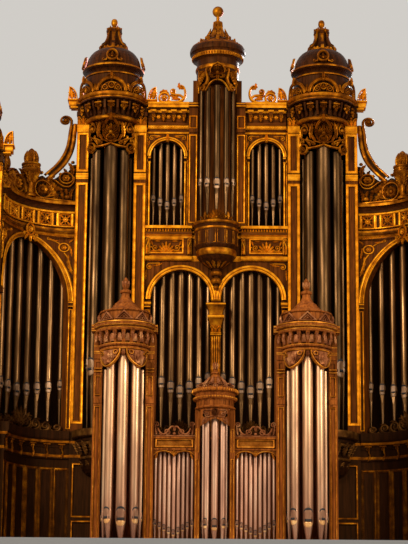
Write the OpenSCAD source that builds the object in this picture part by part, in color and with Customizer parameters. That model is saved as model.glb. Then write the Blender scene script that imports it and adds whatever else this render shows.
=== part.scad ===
// Pipe organ in a carved case: a main case with round towers, concave wings and
// lower outer towers, and a small front case that stands before it.
// X to the right, Y into the case, Z up. The gallery floor is Z 0 and the
// front plane of the main case is Y 0, with the middle of the organ at X 0.

/* [Main case] */
// Height of the solid base under the pipes
base_h = 3120; // [2800:10:3300]
// How far the base stands out before the front plane
base_out = 200; // [170:5:240]
// Depth of the main case behind the front plane
case_depth = 3000; // [2200:50:3600]
// Thickness of the case boards
board = 60; // [30:5:80]

/* [Main towers] */
// Distance of a main tower's axis from the middle
tower_x = 2200; // [2100:10:2400]
// Half width of a tower's pipe opening
tower_open = 475; // [475:5:520]
// Width of a tower pilaster
pilaster_w = 250; // [200:5:280]
// Depth of a tower pilaster, half before and half behind the front plane
pilaster_d = 300; // [240:10:320]
// Height of the pilasters' cap bands, from the boards over the upper arches
cap_band = 144; // [130:2:160]
// Height of the narrow moulded break in each pilaster, below its top
break_down = 1100; // [900:10:1300]
// Radius of a tower cornice
cornice_r = 750; // [700:5:780]
// Height of the turned tower head from the pilaster tops to the cornice top
head_h = 575; // [520:5:620]

/* [Wings] */
// Radius of the concave wing, from tower side to tower side
wing_r = 1370; // [1300:10:1500]
// Thickness of the wing wall
wing_wall = 100; // [60:5:120]
// Height of the wing arch's springing above the base
wing_post_h = 2732; // [2650:10:2850]
// Rise of the wing arch
wing_rise = 1250; // [1150:10:1300]
// Height of the wing entablature
wing_entablature = 727; // [680:5:760]
// Angle that the wing opening leaves at either side
wing_jamb = 5; // [4:0.5:6]
// How much lower the outer towers are
outer_drop = 1480; // [1300:10:1600]

/* [Centre] */
// Height of the lower arches' springing above the base
lower_post_h = 2770; // [2600:10:2900]
// Height of the middle rail, up to the shelf that carries the upper pipes
rail_depth = 737; // [700:5:780]
// Height of the upper arches' springing above the shelf
upper_post_h = 1511; // [1400:10:1600]
// Height of the top entablature over the upper arches
entablature_h = 656; // [630:5:700]
// Radius of the two lower arches
arch_r = 620; // [560:5:625]
// Width of the middle colonnette
colonnette_w = 200; // [180:5:260]
// Radius of the two upper arches
upper_arch_r = 351; // [300:5:370]

/* [Turret] */
// Half width of the turret's pipe opening
turret_open = 410; // [400:5:430]
// Width of a turret post
turret_post_w = 180; // [140:5:190]
// Radius of the circle that the turret pipes stand on
turret_pipe_r = 360; // [340:5:365]
// How far the turret axis stands before the front plane
turret_out = 150; // [130:5:180]
// Radius of the turret's upper ring
turret_ring_r = 595; // [560:5:620]
// Height of the turret posts' necks over the top cornice
turret_rise = 483; // [440:5:520]

/* [Front case] */
// Distance of the front case's front plane before the main one
front_y = 3600; // [3400:10:3900]
// Depth of the front case behind its front plane
front_depth = 1200; // [1000:10:1300]
// Height of the front case's plinth
plinth_h = 450; // [400:10:480]
// Distance of a front tower's axis from the middle
front_tower_x = 1690; // [1690:10:1800]
// Half width of a front tower's pipe opening
front_open = 400; // [400:5:420]
// Width of a front pilaster
front_pilaster_w = 162; // [140:2:180]
// Depth of a front pilaster
front_pilaster_d = 200; // [160:5:220]
// Height of the front pilasters' tops
front_tower_h = 4019; // [3900:10:4100]
// Height of the double arch crowns of the front flats
front_arch_h = 2192; // [2150:5:2240]
// Half width of the front turret's pipe opening
front_turret_open = 275; // [270:5:290]
// Width of a front turret post
front_post_w = 92; // [70:2:110]
// Height of the front turret posts
front_turret_h = 2960; // [2900:5:3050]

/* [Pipes] */
// Diameter of the middle pipe of a main tower
tower_pipe_d = 280; // [260:2:290]
// Diameter of a wing pipe in the middle of the wing
wing_pipe_d = 160; // [140:2:170]
// Diameter of the middle pipe of a front tower
front_pipe_d = 192; // [180:2:200]
// Length of the foot of a main tower's middle pipe
tower_foot_l = 1002; // [950:2:1060]
// Length of the foot of the middle pipe under a lower arch
flat_foot_l = 829; // [780:2:880]
// Length of the foot of the middle pipe under an upper arch
upper_foot_l = 468; // [440:2:500]
// Length of the foot of a wing's middle pipe
wing_foot_l = 780; // [740:2:840]
// Length of the foot of a front tower's middle pipe
front_foot_l = 437; // [410:2:470]
// Height of a pipe's mouth opening as a share of its diameter
cut_up = 0.22; // [0.18:0.01:0.28]
// Depth of the lips' flats as a share of the pipe's radius
lip_flat = 0.2; // [0.12:0.01:0.26]

/* [Hidden] */
$fn = 128;
wing_fn = 256;

archivolt_w = 107;
archivolt_out = 35;
upper_volt_w = 62;
lower_spring = base_h + lower_post_h;
rail_h = lower_spring + arch_r + archivolt_w + 85;
shelf_h = rail_h + rail_depth;
upper_spring = shelf_h + upper_post_h;
upper_board_top = upper_spring + upper_arch_r + upper_volt_w + 84;
top_h = upper_board_top + entablature_h;
tower_h = upper_board_top + cap_band;
turret_head = top_h + turret_rise;

tower_half = tower_open + pilaster_w;
tower_inner = tower_x - tower_half;
tower_outer = tower_x + tower_half;
outer_x = tower_outer + wing_r + tower_half;
wing_set = 20;
wing_y = wing_set - wing_r;
outer_y = wing_y - pilaster_d / 2;
case_front = pilaster_d / 2;
cornice_top = tower_h + head_h;
outer_top = cornice_top - outer_drop;
toe_board = 50;
tower_foot = base_h + toe_board;

panel_front = 60;
panel_back = 40;
panel_step = 12;
frame_w = 45;

post_inner = turret_open;
post_outer = turret_open + turret_post_w;
front_half = front_open + front_pilaster_w;
front_inner = front_tower_x - front_half;
front_outer = front_tower_x + front_half;
front_post_outer = front_turret_open + front_post_w;

main_brown = [0.30, 0.19, 0.12];
dark_brown = [0.20, 0.13, 0.09];
gilt = [0.80, 0.52, 0.16];
tin = [0.66, 0.58, 0.50];
front_brown = [0.48, 0.28, 0.18];

// A rounded moulding between two heights whose nose stands at reach
function bead(reach, z0, z1, n = 6) = [for (i = [0:n])
  let (a = -90 + 180 * i / n, h = (z1 - z0) / 2, deep = min(h, 0.7 * reach))
  [reach - deep + deep * cos(a), z0 + h + h * sin(a)]];

// A hollow quarter that rises straight and turns outwards
function cove(p0, z0, p1, z1, n = 5) = [for (i = [0:n])
  let (a = 90 * i / n) [p1 - (p1 - p0) * cos(a), z0 + (z1 - z0) * sin(a)]];

// A rounded quarter that leaves flat and ends upright
function ovolo(p0, z0, p1, z1, n = 5) = [for (i = [0:n])
  let (a = 90 * i / n) [p0 + (p1 - p0) * sin(a), z1 - (z1 - z0) * cos(a)]];

// Points of an ellipse quadrant, from its upright side down and along +X
function swoop(x0, z0, rx, rz, end, n = 10) = [for (i = [0:n])
  let (a = end * i / n) [x0 + rx * (1 - cos(a)), z0 - rz * sin(a)]];

function reversed(list) = [for (i = [len(list) - 1:-1:0]) list[i]];

module both_sides() {
  children();
  mirror([1, 0, 0]) children();
}

// Places a head piece on the main and on the outer towers of both sides
module on_all_towers() both_sides() {
  translate([tower_x, 0, 0]) children();
  translate([outer_x, outer_y, -outer_drop]) children();
}

// A turned solid from a list of radius and height
module turned(points) rotate_extrude() polygon(points);

// A straight moulding along X from a list of projection and height
module moulding(x0, x1, back, points)
  translate([x0, 0, 0]) rotate([90, 0, 90]) linear_extrude(x1 - x0)
    polygon(concat([[back, points[0][1]]], [for (p = points) [-p[0], p[1]]],
                   [[back, points[len(points) - 1][1]]]));

// An upright board facing the viewer, from a flat outline drawn in X and Z
module upright(front, back) translate([0, back, 0]) rotate([90, 0, 0])
  linear_extrude(back - front) children();

// A round headed opening, drawn in X and Z
module arch_outline(r, bottom, spring) {
  translate([0, spring]) circle(r);
  translate([-r, bottom]) square([2 * r, spring - bottom]);
}

// The same opening with a head of straight facets, for small repeated holes
module small_arch_outline(r, bottom, spring, n = 6)
  polygon(concat([[r, bottom]], [for (i = [0:n]) [r * cos(180 * i / n), spring + r * sin(180 * i / n)]],
                 [[-r, bottom]]));

module ring_outline(r, w) difference() {
  circle(r);
  circle(r - w);
}

// An organ pipe with a conical foot, flattened lips and an open mouth
module organ_pipe(d, foot, mouth, top) {
  r = d / 2;
  tip = 0.24 * r;
  flat = r * (1 - lip_flat);
  open_h = d * cut_up;
  lip_h = 1.5 * d;
  lean = atan(r * lip_flat / lip_h);
  difference() {
    rotate_extrude() polygon([[0, foot], [tip, foot], [r, mouth], [r, top], [0, top]]);
    translate([-0.66 * r, -2 * r, mouth]) cube([1.32 * r, 1.45 * r, open_h]);
    translate([-r, -flat, mouth + open_h]) rotate([lean, 0, 0])
      translate([0, -r, -1]) cube([2 * r, r, lip_h + d]);
    translate([-r, -flat - r, foot - 1]) cube([2 * r, r, mouth - foot + 2]);
  }
}

// Pipes on an arc before a tower's centre, largest in the middle
module pipe_arc(radius, step, sizes, foot, mouths, tops)
  for (i = [0:len(sizes) - 1], side = i == 0 ? [1] : [-1, 1])
    rotate([0, 0, side * i * step]) translate([0, -radius, 0])
      organ_pipe(sizes[i], foot, mouths[i], tops[i]);

// A post with a sunk panel on its front between each pair of heights
module panelled_post(w, d, bottom, top, panels) difference() {
  translate([-w / 2, -d / 2, bottom]) cube([w, d, top - bottom]);
  for (p = panels)
    translate([-w / 2 + frame_w, -d / 2 - 1, p[0]])
      cube([w - 2 * frame_w, panel_step + 1, p[1] - p[0]]);
}

// Base

base_cap = 135;
base_step = 90;
base_frieze = 490;

// Mouldings at the head of the base, as reach before its face and height
base_profile = concat(
  [[0, base_h - base_frieze - 90]], bead(35, base_h - base_frieze - 80, base_h - base_frieze - 30),
  [[0, base_h - base_frieze - 30]], [[0, base_h - 330]], cove(15, base_h - 330, 50, base_h - 240),
  [[60, base_h - 240], [60, base_h - base_cap - 60]],
  ovolo(60, base_h - base_cap - 60, base_step, base_h - base_cap),
  [[base_step, base_h]]);

centre_panels = 4;

module base_mouldings(x0, x1) moulding(x0, x1, -base_out + 10,
  [for (p = base_profile) [base_out + p[0], p[1]]]);

module sunk_panels(x0, x1, count, face) {
  pitch = (x1 - x0) / count;
  for (i = [0:count - 1], z = [[380, 1300], [1420, base_h - base_frieze - 180]])
    translate([x0 + i * pitch + 90, face - 1, z[0]]) cube([pitch - 180, 25, z[1] - z[0]]);
}

module centre_base() color(dark_brown) {
  difference() {
    union() {
      translate([-tower_outer, -base_out, 0]) cube([2 * tower_outer, base_out + case_depth, base_h]);
      base_mouldings(-tower_inner, tower_inner);
      moulding(-tower_inner, tower_inner, -base_out + 10,
        [[base_out + 40, 0], [base_out + 40, 220], [base_out + 25, 260], [base_out, 270]]);
    }
    sunk_panels(-tower_inner, tower_inner, centre_panels, -base_out);
    both_sides() sunk_panels(tower_inner, tower_outer, 2, -base_out);
  }
}

wing_base_r = wing_r - base_out + wing_set;

module wing_base() {
  difference() {
    translate([tower_outer, wing_y, 0]) cube([wing_r, case_depth - wing_y, base_h]);
    translate([tower_outer, wing_y, -1]) cylinder(r = wing_base_r, h = base_h + 2);
  }
  translate([tower_outer, wing_y, 0]) rotate_extrude(angle = 90)
    polygon(concat([[wing_base_r + 10, base_profile[0][1]]],
      [for (p = base_profile) [wing_base_r - p[0], p[1]]], [[wing_base_r + 10, base_h]]));
}

module wing_bases() color(dark_brown) both_sides() wing_base();

module outer_tower_bases() color(dark_brown) both_sides() difference() {
  translate([outer_x - tower_half, outer_y - base_out, 0])
    cube([2 * tower_half, base_out - outer_y + case_depth, base_h]);
  sunk_panels(outer_x - tower_half, outer_x + tower_half, 2, outer_y - base_out);
}

// Towers

corbel_r = tower_half - 15;

// Turned bowl under a tower, from its drop upwards
corbel_profile = concat(
  [[0, base_h - 1250]], bead(95, base_h - 1250, base_h - 1110), [[80, base_h - 1100]],
  ovolo(130, base_h - 1090, 300, base_h - 1000), bead(330, base_h - 990, base_h - 930),
  ovolo(300, base_h - 920, 545, base_h - 600), bead(575, base_h - 590, base_h - 530),
  [[540, base_h - 520]], cove(540, base_h - 520, 640, base_h - 330),
  bead(665, base_h - 320, base_h - 250), [[650, base_h - 240], [650, base_h - base_cap - 40]],
  ovolo(650, base_h - base_cap - 40, corbel_r, base_h - base_cap),
  [[corbel_r, base_h], [0, base_h]]);

module tower_corbel() {
  difference() {
    turned(corbel_profile);
    translate([-tower_half, -base_out, 0]) cube([2 * tower_half, 3 * base_out + corbel_r, base_h + 1]);
  }
  difference() {
    translate([0, 0, base_h]) cylinder(r = tower_open - 5, h = toe_board);
    translate([-tower_half, case_front, base_h - 1]) cube([2 * tower_half, tower_half, toe_board + 2]);
  }
}

module tower_corbels() color(main_brown) both_sides() {
  translate([tower_x, 0, 0]) tower_corbel();
  translate([outer_x, outer_y, 0]) tower_corbel();
}

pilaster_plinth = 160;
break_h = 130;

module tower_pilaster(top) {
  break_z = top - break_down;
  panelled_post(pilaster_w, pilaster_d, base_h, top,
    [[base_h + pilaster_plinth + frame_w, break_z - break_h - frame_w],
     [break_z + break_h, top - cap_band - frame_w]]);
  translate([-pilaster_w / 2, -pilaster_d / 2 - 25, base_h]) cube([pilaster_w, 30, pilaster_plinth]);
  translate([-pilaster_w / 2, -pilaster_d / 2 - 20, break_z - break_h / 2])
    cube([pilaster_w, 25, break_h]);
  translate([-pilaster_w / 2, -pilaster_d / 2 - 30, top - cap_band]) cube([pilaster_w, 35, cap_band]);
}

module pilaster_pair(top) for (side = [-1, 1])
  translate([side * (tower_open + pilaster_w / 2), 0, 0]) tower_pilaster(top);

module tower_pilasters() color(main_brown) both_sides() {
  translate([tower_x, 0, 0]) pilaster_pair(tower_h);
  translate([outer_x, outer_y, 0]) pilaster_pair(tower_h - outer_drop);
}

ring_r = cornice_r - 175;
block_over = 30;
modillions = 13;

// Turned mouldings of a tower head, from the ring over the shade to the cornice
head_profile = concat(
  [[0, tower_h + 38]], bead(ring_r, tower_h + 38, tower_h + 125), [[ring_r - 50, tower_h + 135]],
  [[ring_r - 45, tower_h + head_h - 200]],
  cove(ring_r - 10, tower_h + head_h - 190, cornice_r - 70, tower_h + head_h - 130),
  [[cornice_r - 45, tower_h + head_h - 130], [cornice_r - 45, tower_h + head_h - 80]],
  ovolo(cornice_r - 40, tower_h + head_h - 80, cornice_r, tower_h + head_h - 30),
  [[cornice_r, cornice_top], [0, cornice_top]]);

// A bracket under the cornice, set out along -Y
module head_bracket() translate([0, -ring_r - 15, 0]) rotate([90, 0, 90])
  translate([0, 0, -22]) linear_extrude(44)
    polygon([[60, tower_h + 150], [20, tower_h + 150], [-10, tower_h + 215], [-45, tower_h + 260],
             [-70, tower_h + head_h - 150], [60, tower_h + head_h - 150]]);

module tower_cornice() difference() {
  union() {
    turned(head_profile);
    for (i = [0:modillions - 1]) rotate([0, 0, -72 + 144 * i / (modillions - 1)]) head_bracket();
    for (side = [-1, 1]) {
      translate([side * (tower_open + pilaster_w / 2) - pilaster_w / 2, -pilaster_d / 2, tower_h])
        cube([pilaster_w, pilaster_d, head_h - 1]);
      translate([side * (tower_open + pilaster_w / 2) - pilaster_w / 2 - block_over,
                 -pilaster_d / 2 - block_over, tower_h + head_h - 140])
        cube([pilaster_w + 2 * block_over, pilaster_d + block_over, 132]);
      translate([side * (tower_open + pilaster_w / 2) - pilaster_w / 2 - block_over / 2,
                 -pilaster_d / 2 - block_over, tower_h + 215])
        cube([pilaster_w + block_over, pilaster_d + block_over, 88]);
    }
  }
  translate([-2 * tower_half, case_front, tower_h - 1])
    cube([4 * tower_half, cornice_r, head_h + 2]);
}

module tower_cornices() color(main_brown) on_all_towers() tower_cornice();

gallery_r = cornice_r - 60;
gallery_h = 412;
lunettes = 6;
lunette_r = 330;
lunette_foot = 45;
lunette_rim = 55;
gallery_t = 30;

// Height of a lunette's outer edge at an angle round the tower from the gap beside it
function lunette_edge(angle) = lunette_foot
  + sqrt(lunette_r * lunette_r - pow(gallery_r * sin(180 / lunettes - angle), 2));

// A round solid of the gallery's height with an outline cut or kept through its front
module through_gallery(angle) rotate([0, 0, angle]) translate([0, -gallery_r, 0])
  rotate([90, 0, 0]) linear_extrude(140, center = true) children();

// Ring of lunettes round the foot of the crown: moulded arches on a rail with pierced tracery
module tower_gallery() translate([0, 0, cornice_top]) {
  difference() {
    cylinder(r = gallery_r, h = gallery_h);
    translate([0, 0, -1]) cylinder(r = gallery_r - gallery_t, h = gallery_h + 2);
    for (i = [0:lunettes - 1]) {
      through_gallery(360 * i / lunettes) {
        small_arch_outline(62, 110, 200);
        for (side = [-1, 1]) translate([165 * side, 0]) small_arch_outline(48, 95, 150);
      }
      through_gallery(360 * (i + 0.5) / lunettes) polygon(concat([[0, 100]],
        [for (g = [4:6:22]) [gallery_r * sin(g), lunette_edge(g)]],
        [[gallery_r * sin(22), gallery_h + 1], [-gallery_r * sin(22), gallery_h + 1]],
        [for (g = [22:-6:4]) [-gallery_r * sin(g), lunette_edge(g)]]));
    }
  }
  for (i = [0:lunettes - 1]) intersection() {
    difference() {
      cylinder(r = gallery_r + 22, h = gallery_h);
      translate([0, 0, -1]) cylinder(r = gallery_r - 8, h = gallery_h + 2);
    }
    through_gallery(360 * i / lunettes) difference() {
      small_arch_outline(lunette_r, lunette_foot - 1, lunette_foot, 12);
      small_arch_outline(lunette_r - lunette_rim, lunette_foot - 2, lunette_foot, 12);
    }
  }
}

module tower_galleries() color(gilt) on_all_towers() tower_gallery();

crown_top = cornice_top + 1634;

// Turned drum, bell and neck of a tower crown
crown_profile = concat(
  [[0, cornice_top], [gallery_r - 90, cornice_top], [gallery_r - 100, cornice_top + 440]],
  bead(600, cornice_top + 454, cornice_top + 500), cove(500, cornice_top + 510, 590, cornice_top + 600),
  bead(650, cornice_top + 612, cornice_top + 674),
  [for (i = [0:8]) let (a = 90 * i / 8) [280 + 300 * cos(a), cornice_top + 690 + 420 * sin(a)]],
  bead(300, cornice_top + 1115, cornice_top + 1160), [[150, cornice_top + 1170]],
  [[100, cornice_top + 1400], [120, cornice_top + 1600]],
  bead(150, cornice_top + 1600, crown_top), [[0, crown_top]]);

consoles = 6;

// A scrolled console that leans against the neck of a crown
module console_scroll(reach, h) rotate([90, 0, 0]) linear_extrude(60, center = true) {
  translate([reach - 95, 90]) circle(90);
  polygon([[60, h], [130, h], [150, h * 0.72], [205, h * 0.42], [reach - 20, 150],
           [reach - 20, 90], [60, 90]]);
  translate([120, h - 45]) circle(55);
}

module tower_crown() {
  turned(crown_profile);
  for (i = [0:consoles - 1]) rotate([0, 0, 360 * i / consoles - 90])
    translate([0, 0, cornice_top + 1112]) console_scroll(300, 490);
  translate([0, 0, crown_top]) turned(concat([[0, 0], [45, 0]], [[35, 40]],
    bead(70, 49, 223), [[0, 223]]));
  translate([0, -500, cornice_top + 840]) rotate([75, 0, 0]) linear_extrude(110, center = true)
    ring_outline(150, 55);
}

module tower_crowns() color(dark_brown) on_all_towers() tower_crown();

tower_pipe_r = 395;
tower_pipe_step = 44.7;
tower_sizes = [tower_pipe_d, tower_pipe_d - 75, tower_pipe_d - 130];
tower_tops = [tower_h - 516, tower_h - 600, tower_h - 690];
tower_mouths = [for (longer = [0, 184, 308]) tower_foot + tower_foot_l + longer];

module tower_pipes() color(tin) both_sides() {
  translate([tower_x, 0, 0])
    pipe_arc(tower_pipe_r, tower_pipe_step, tower_sizes, tower_foot, tower_mouths, tower_tops);
  translate([outer_x, outer_y, 0])
    pipe_arc(tower_pipe_r, tower_pipe_step, tower_sizes, tower_foot, tower_mouths,
             [for (t = tower_tops) t - outer_drop]);
}

shade_r = ring_r - 10;
shade_t = 18;

// Outline of a tower shade in X and Z, with its lower edge like two swags
module shade_outline(w, top, peak, low, roundel) difference() {
  union() {
    polygon([[-w, top], [w, top], [w, low + roundel], [w * 0.62, peak - 60], [w * 0.3, peak - 10],
             [0, peak], [-w * 0.3, peak - 10], [-w * 0.62, peak - 60], [-w, low + roundel]]);
    for (side = [-1, 1]) translate([side * (w - roundel), low + roundel]) circle(roundel);
  }
  for (side = [-1, 1]) translate([side * (w - roundel), low + roundel]) circle(roundel * 0.62);
  translate([0, peak + 0.27 * (top - peak)]) circle(0.13 * (top - peak));
  for (side = [-1, 1]) {
    translate([side * w * 0.25, peak + 0.55 * (top - peak)]) circle(0.14 * (top - peak));
    translate([side * w * 0.48, peak + 0.32 * (top - peak)]) circle(0.12 * (top - peak));
    translate([side * w * 0.55, peak + 0.72 * (top - peak)]) circle(0.11 * (top - peak));
    translate([side * w * 0.8, peak + 0.5 * (top - peak)]) circle(0.13 * (top - peak));
  }
}

// A sheet bent round a tower, cut to the outline given as a child
module bent_sheet(r, t, z0, z1) intersection() {
  translate([0, 0, z0]) rotate([0, 0, 180]) rotate_extrude(angle = 180)
    translate([r - t, 0]) square([t, z1 - z0]);
  rotate([90, 0, 0]) linear_extrude(r + 1) children();
}

module tower_shades() color(gilt) on_all_towers()
  bent_sheet(shade_r, shade_t, tower_h - 740, tower_h + 38)
    shade_outline(tower_open - 5, tower_h + 38, tower_h - 500, tower_h - 710, 115);

// Centre block

arch_x = colonnette_w / 2 + arch_r;

module lower_arcade() color(main_brown) {
  difference() {
    translate([-tower_inner, -panel_front, base_h])
      cube([2 * tower_inner, panel_front + panel_back, rail_h - base_h]);
    both_sides() translate([arch_x, 0, 0]) upright(-200, 200)
      arch_outline(arch_r, base_h - 1, lower_spring);
  }
  both_sides() intersection() {
    translate([arch_x, 0, lower_spring]) upright(-panel_front - archivolt_out, -panel_front)
      ring_outline(arch_r + archivolt_w, archivolt_w);
    translate([0, -500, lower_spring]) cube([tower_inner, 1000, rail_h - lower_spring]);
  }
  // middle colonnette with its capital, and half caps at the outer springings
  translate([-colonnette_w / 2, -panel_front - 60, base_h]) cube([colonnette_w, 60, 250]);
  translate([0, -panel_front, base_h + 250])
    cylinder(r = colonnette_w / 2 - 25, h = lower_spring - 600 - base_h - 250);
  translate([-colonnette_w / 2, -panel_front - 85, lower_spring - 660])
    cube([colonnette_w, 85, 80]);
  moulding(-colonnette_w / 2, colonnette_w / 2, -panel_front,
    concat([[panel_front + 20, lower_spring - 580]],
      cove(panel_front + 30, lower_spring - 570, panel_front + 95, lower_spring - 130),
      [[panel_front + 110, lower_spring - 120], [panel_front + 110, lower_spring - 60]]));
  both_sides() moulding(arch_x + arch_r, tower_inner, -panel_front,
    [[panel_front + 25, lower_spring - 190], [panel_front + 60, lower_spring - 120],
     [panel_front + 60, lower_spring - 60]]);
}

corbel_clear = 505;

// Middle rail between the lower arches and the upper pipes
rail_profile = concat(
  [[90, rail_h]], bead(150, rail_h + 5, rail_h + 105), [[80, rail_h + 112], [80, shelf_h - 245]],
  cove(85, shelf_h - 245, 140, shelf_h - 190), [[145, shelf_h - 185], [145, shelf_h - 130]],
  cove(90, shelf_h - 125, 165, shelf_h - 60), [[175, shelf_h - 55], [175, shelf_h]]);

module middle_rail() color(main_brown) {
  translate([-tower_inner, -panel_front, rail_h])
    cube([2 * tower_inner, panel_front + 300, shelf_h - rail_h]);
  both_sides() difference() {
    moulding(corbel_clear, tower_inner, -panel_front, rail_profile);
    translate([corbel_clear + 190, -80 - 30, rail_h + 180])
      cube([tower_inner - corbel_clear - 290, 25 + 30, shelf_h - 300 - rail_h - 150]);
  }
  // carved brackets at both ends of the rail
  both_sides() for (x = [corbel_clear + 10, tower_inner - 90])
    translate([x, 0, 0]) moulding(0, 80, -panel_front,
      [[90, rail_h + 112], [110, rail_h + 130], [105, rail_h + 250],
       [130, shelf_h - 260], [130, shelf_h - 245]]);
}

upper_x = (post_outer + tower_inner) / 2;

module upper_arcade() color(main_brown) both_sides() {
  difference() {
    translate([post_outer, -panel_front, shelf_h])
      cube([tower_inner - post_outer, panel_front + panel_back, upper_board_top - shelf_h]);
    translate([upper_x, 0, 0]) upright(-200, 200)
      arch_outline(upper_arch_r, shelf_h - 1, upper_spring);
  }
  translate([upper_x, 0, upper_spring]) intersection() {
    upright(-panel_front - archivolt_out, -panel_front)
      ring_outline(upper_arch_r + upper_volt_w, upper_volt_w);
    translate([-tower_inner, -500, 0]) cube([2 * tower_inner, 1000, 600]);
  }
  // slim colonnettes and their caps at both jambs
  for (x = [upper_x - upper_arch_r - 45, upper_x + upper_arch_r])
    translate([x, -panel_front - 40, shelf_h]) {
      translate([2, 15, 0]) cube([41, 25, upper_spring - shelf_h - 120]);
      translate([0, -20, upper_spring - shelf_h - 60]) cube([45, 60, 60]);
      translate([0, 0, upper_spring - shelf_h - 150]) cube([45, 40, 45]);
    }
}

// Top entablature, from the band over the arches to the cornice
top_profile = concat(
  [[70, upper_board_top]], bead(95, upper_board_top, upper_board_top + 47),
  [[70, upper_board_top + 52], [70, upper_board_top + 95]],
  bead(130, upper_board_top + 100, upper_board_top + 186), [[95, upper_board_top + 190]],
  [[95, top_h - 200]], [[125, top_h - 198], [125, top_h - 155]],
  cove(135, top_h - 150, 205, top_h - 112), [[215, top_h - 110], [215, top_h - 55]],
  ovolo(215, top_h - 55, 240, top_h - 20), [[240, top_h]]);

cornice_brackets = 4;
top_end = tower_inner - block_over;

module top_cornice() color(main_brown) both_sides() {
  moulding(post_outer, top_end, case_front, top_profile);
  translate([top_end - 1, -panel_front, upper_board_top])
    cube([block_over + 1, panel_front + case_front, tower_h - upper_board_top]);
  pitch = (top_end - post_outer) / cornice_brackets;
  for (i = [0:cornice_brackets - 1])
    translate([post_outer + (i + 0.5) * pitch - 35, 0, 0]) moulding(0, 70, -90,
      [[90, top_h - 390], [110, top_h - 385], [150, top_h - 330], [150, top_h - 290],
       [195, top_h - 240], [195, top_h - 145]]);
}

scroll_x0 = post_outer + 10;
scroll_w = 470;

// A lying S scroll with a rosette eye at its taller end
module s_scroll_outline() {
  difference() {
    translate([130, 130]) circle(130);
    translate([130, 130]) circle(85);
  }
  translate([130, 130]) circle(45);
  translate([40, 118]) square([180, 24]);
  difference() {
    polygon([[220, 20], [scroll_w, 0], [scroll_w, 60], [400, 90], [300, 190], [225, 215]]);
    translate([330, 150]) circle(48);
  }
  translate([scroll_w - 60, 60]) circle(60);
  translate([90, 0]) square([scroll_w - 100, 26]);
}

module top_scrolls() color(gilt) both_sides()
  translate([scroll_x0, 0, top_h]) upright(-130, -70) s_scroll_outline();

// Centre turret

turret_foot = shelf_h + 11;

// Turned corbel under the turret, from its pendant upwards
turret_corbel_profile = concat(
  [[0, shelf_h - 1357]], bead(62, shelf_h - 1357, shelf_h - 1230), [[40, shelf_h - 1220]],
  bead(110, shelf_h - 1215, shelf_h - 1120), [[60, shelf_h - 1110], [60, shelf_h - 1070]],
  bead(120, shelf_h - 1065, shelf_h - 1015), cove(100, shelf_h - 1010, 400, shelf_h - 880),
  [[430, shelf_h - 875]], bead(455, shelf_h - 870, shelf_h - 840), bead(500, shelf_h - 830, shelf_h - 690),
  bead(480, shelf_h - 680, shelf_h - 650), [[448, shelf_h - 645], [448, shelf_h - 345]],
  bead(470, shelf_h - 340, shelf_h - 290), cove(430, shelf_h - 285, 465, shelf_h - 210),
  bead(490, shelf_h - 205, shelf_h - 120), cove(440, shelf_h - 110, 425, shelf_h - 60),
  [[425, turret_foot], [0, turret_foot]]);

module turret_corbel() color(main_brown) translate([0, -turret_out, 0]) {
  difference() {
    turned(turret_corbel_profile);
    translate([-600, turret_out - panel_front, shelf_h - 1400]) cube([1200, 800, 1500]);
    for (i = [-3:3]) rotate([0, 0, i * 26 + 13]) translate([-85, -470, shelf_h - 620])
      cube([170, 36, 240]);
  }
  // low crest before the pipe feet
  intersection() {
    translate([0, 0, turret_foot]) difference() {
      cylinder(r = 425, h = 300);
      translate([0, 0, -1]) cylinder(r = 410, h = 302);
    }
    rotate([90, 0, 0]) linear_extrude(500) union() {
      translate([-330, turret_foot]) square([660, 55]);
      difference() {
        translate([0, turret_foot + 130]) circle(105);
        for (side = [-1, 1]) translate([side * 62, turret_foot + 140]) circle(28);
      }
      for (side = [-1, 1]) translate([side * 240 - 30, turret_foot]) square([60, 190]);
    }
  }
}

turret_post_front = 200;

module turret_posts() color(main_brown) {
  both_sides() {
    translate([(post_inner + post_outer) / 2, (case_front - turret_post_front) / 2, 0])
      panelled_post(turret_post_w, case_front + turret_post_front, shelf_h, top_h - 80,
        [[shelf_h + 60, upper_board_top - 60], [upper_board_top + 90, top_h - 300]]);
    translate([post_inner, -turret_post_front - 40, top_h - 110])
      cube([turret_post_w, 45 + turret_post_front, 110]);
    translate([post_inner, -turret_post_front - 25, upper_board_top])
      cube([turret_post_w, 30, 75]);
    translate([post_inner, -turret_post_front, top_h - 81])
      cube([100, case_front + turret_post_front, turret_head - top_h + 81]);
  }
  translate([-post_inner - 1, case_front - board, shelf_h])
    cube([2 * post_inner + 2, board, turret_head - shelf_h]);
}

// Turned rings of the turret head
turret_rings = concat(
  [[0, turret_head]], [[400, turret_head]], bead(460, turret_head + 5, turret_head + 95),
  [[430, turret_head + 100], [430, turret_head + 175]], cove(430, turret_head + 180, 520, turret_head + 320),
  bead(550, turret_head + 325, turret_head + 446), [[500, turret_head + 450]],
  cove(500, turret_head + 455, 560, turret_head + 530),
  bead(turret_ring_r, turret_head + 534, turret_head + 628), [[0, turret_head + 628]]);

flutes = 28;

module turret_cornice() color(main_brown) translate([0, -turret_out, 0]) difference() {
  turned(turret_rings);
  for (i = [0:flutes - 1]) rotate([0, 0, 360 * i / flutes])
    translate([0, -560, turret_head + 385]) sphere(r = 34);
}

crown_base = turret_head + 628;

// Turned base, neck and egg finial of the turret
turret_crown_profile = concat(
  [[0, crown_base], [400, crown_base]], ovolo(400, crown_base, 330, crown_base + 110),
  cove(300, crown_base + 120, 150, crown_base + 236), bead(150, crown_base + 240, crown_base + 290),
  [[105, crown_base + 295], [80, crown_base + 520]], bead(110, crown_base + 525, crown_base + 580),
  [[70, crown_base + 590], [60, crown_base + 740]], bead(90, crown_base + 745, crown_base + 795),
  [for (i = [0:9]) let (a = -66 + 156 * i / 9) [127 * cos(a), crown_base + 926 + 124 * sin(a)]]);

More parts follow.
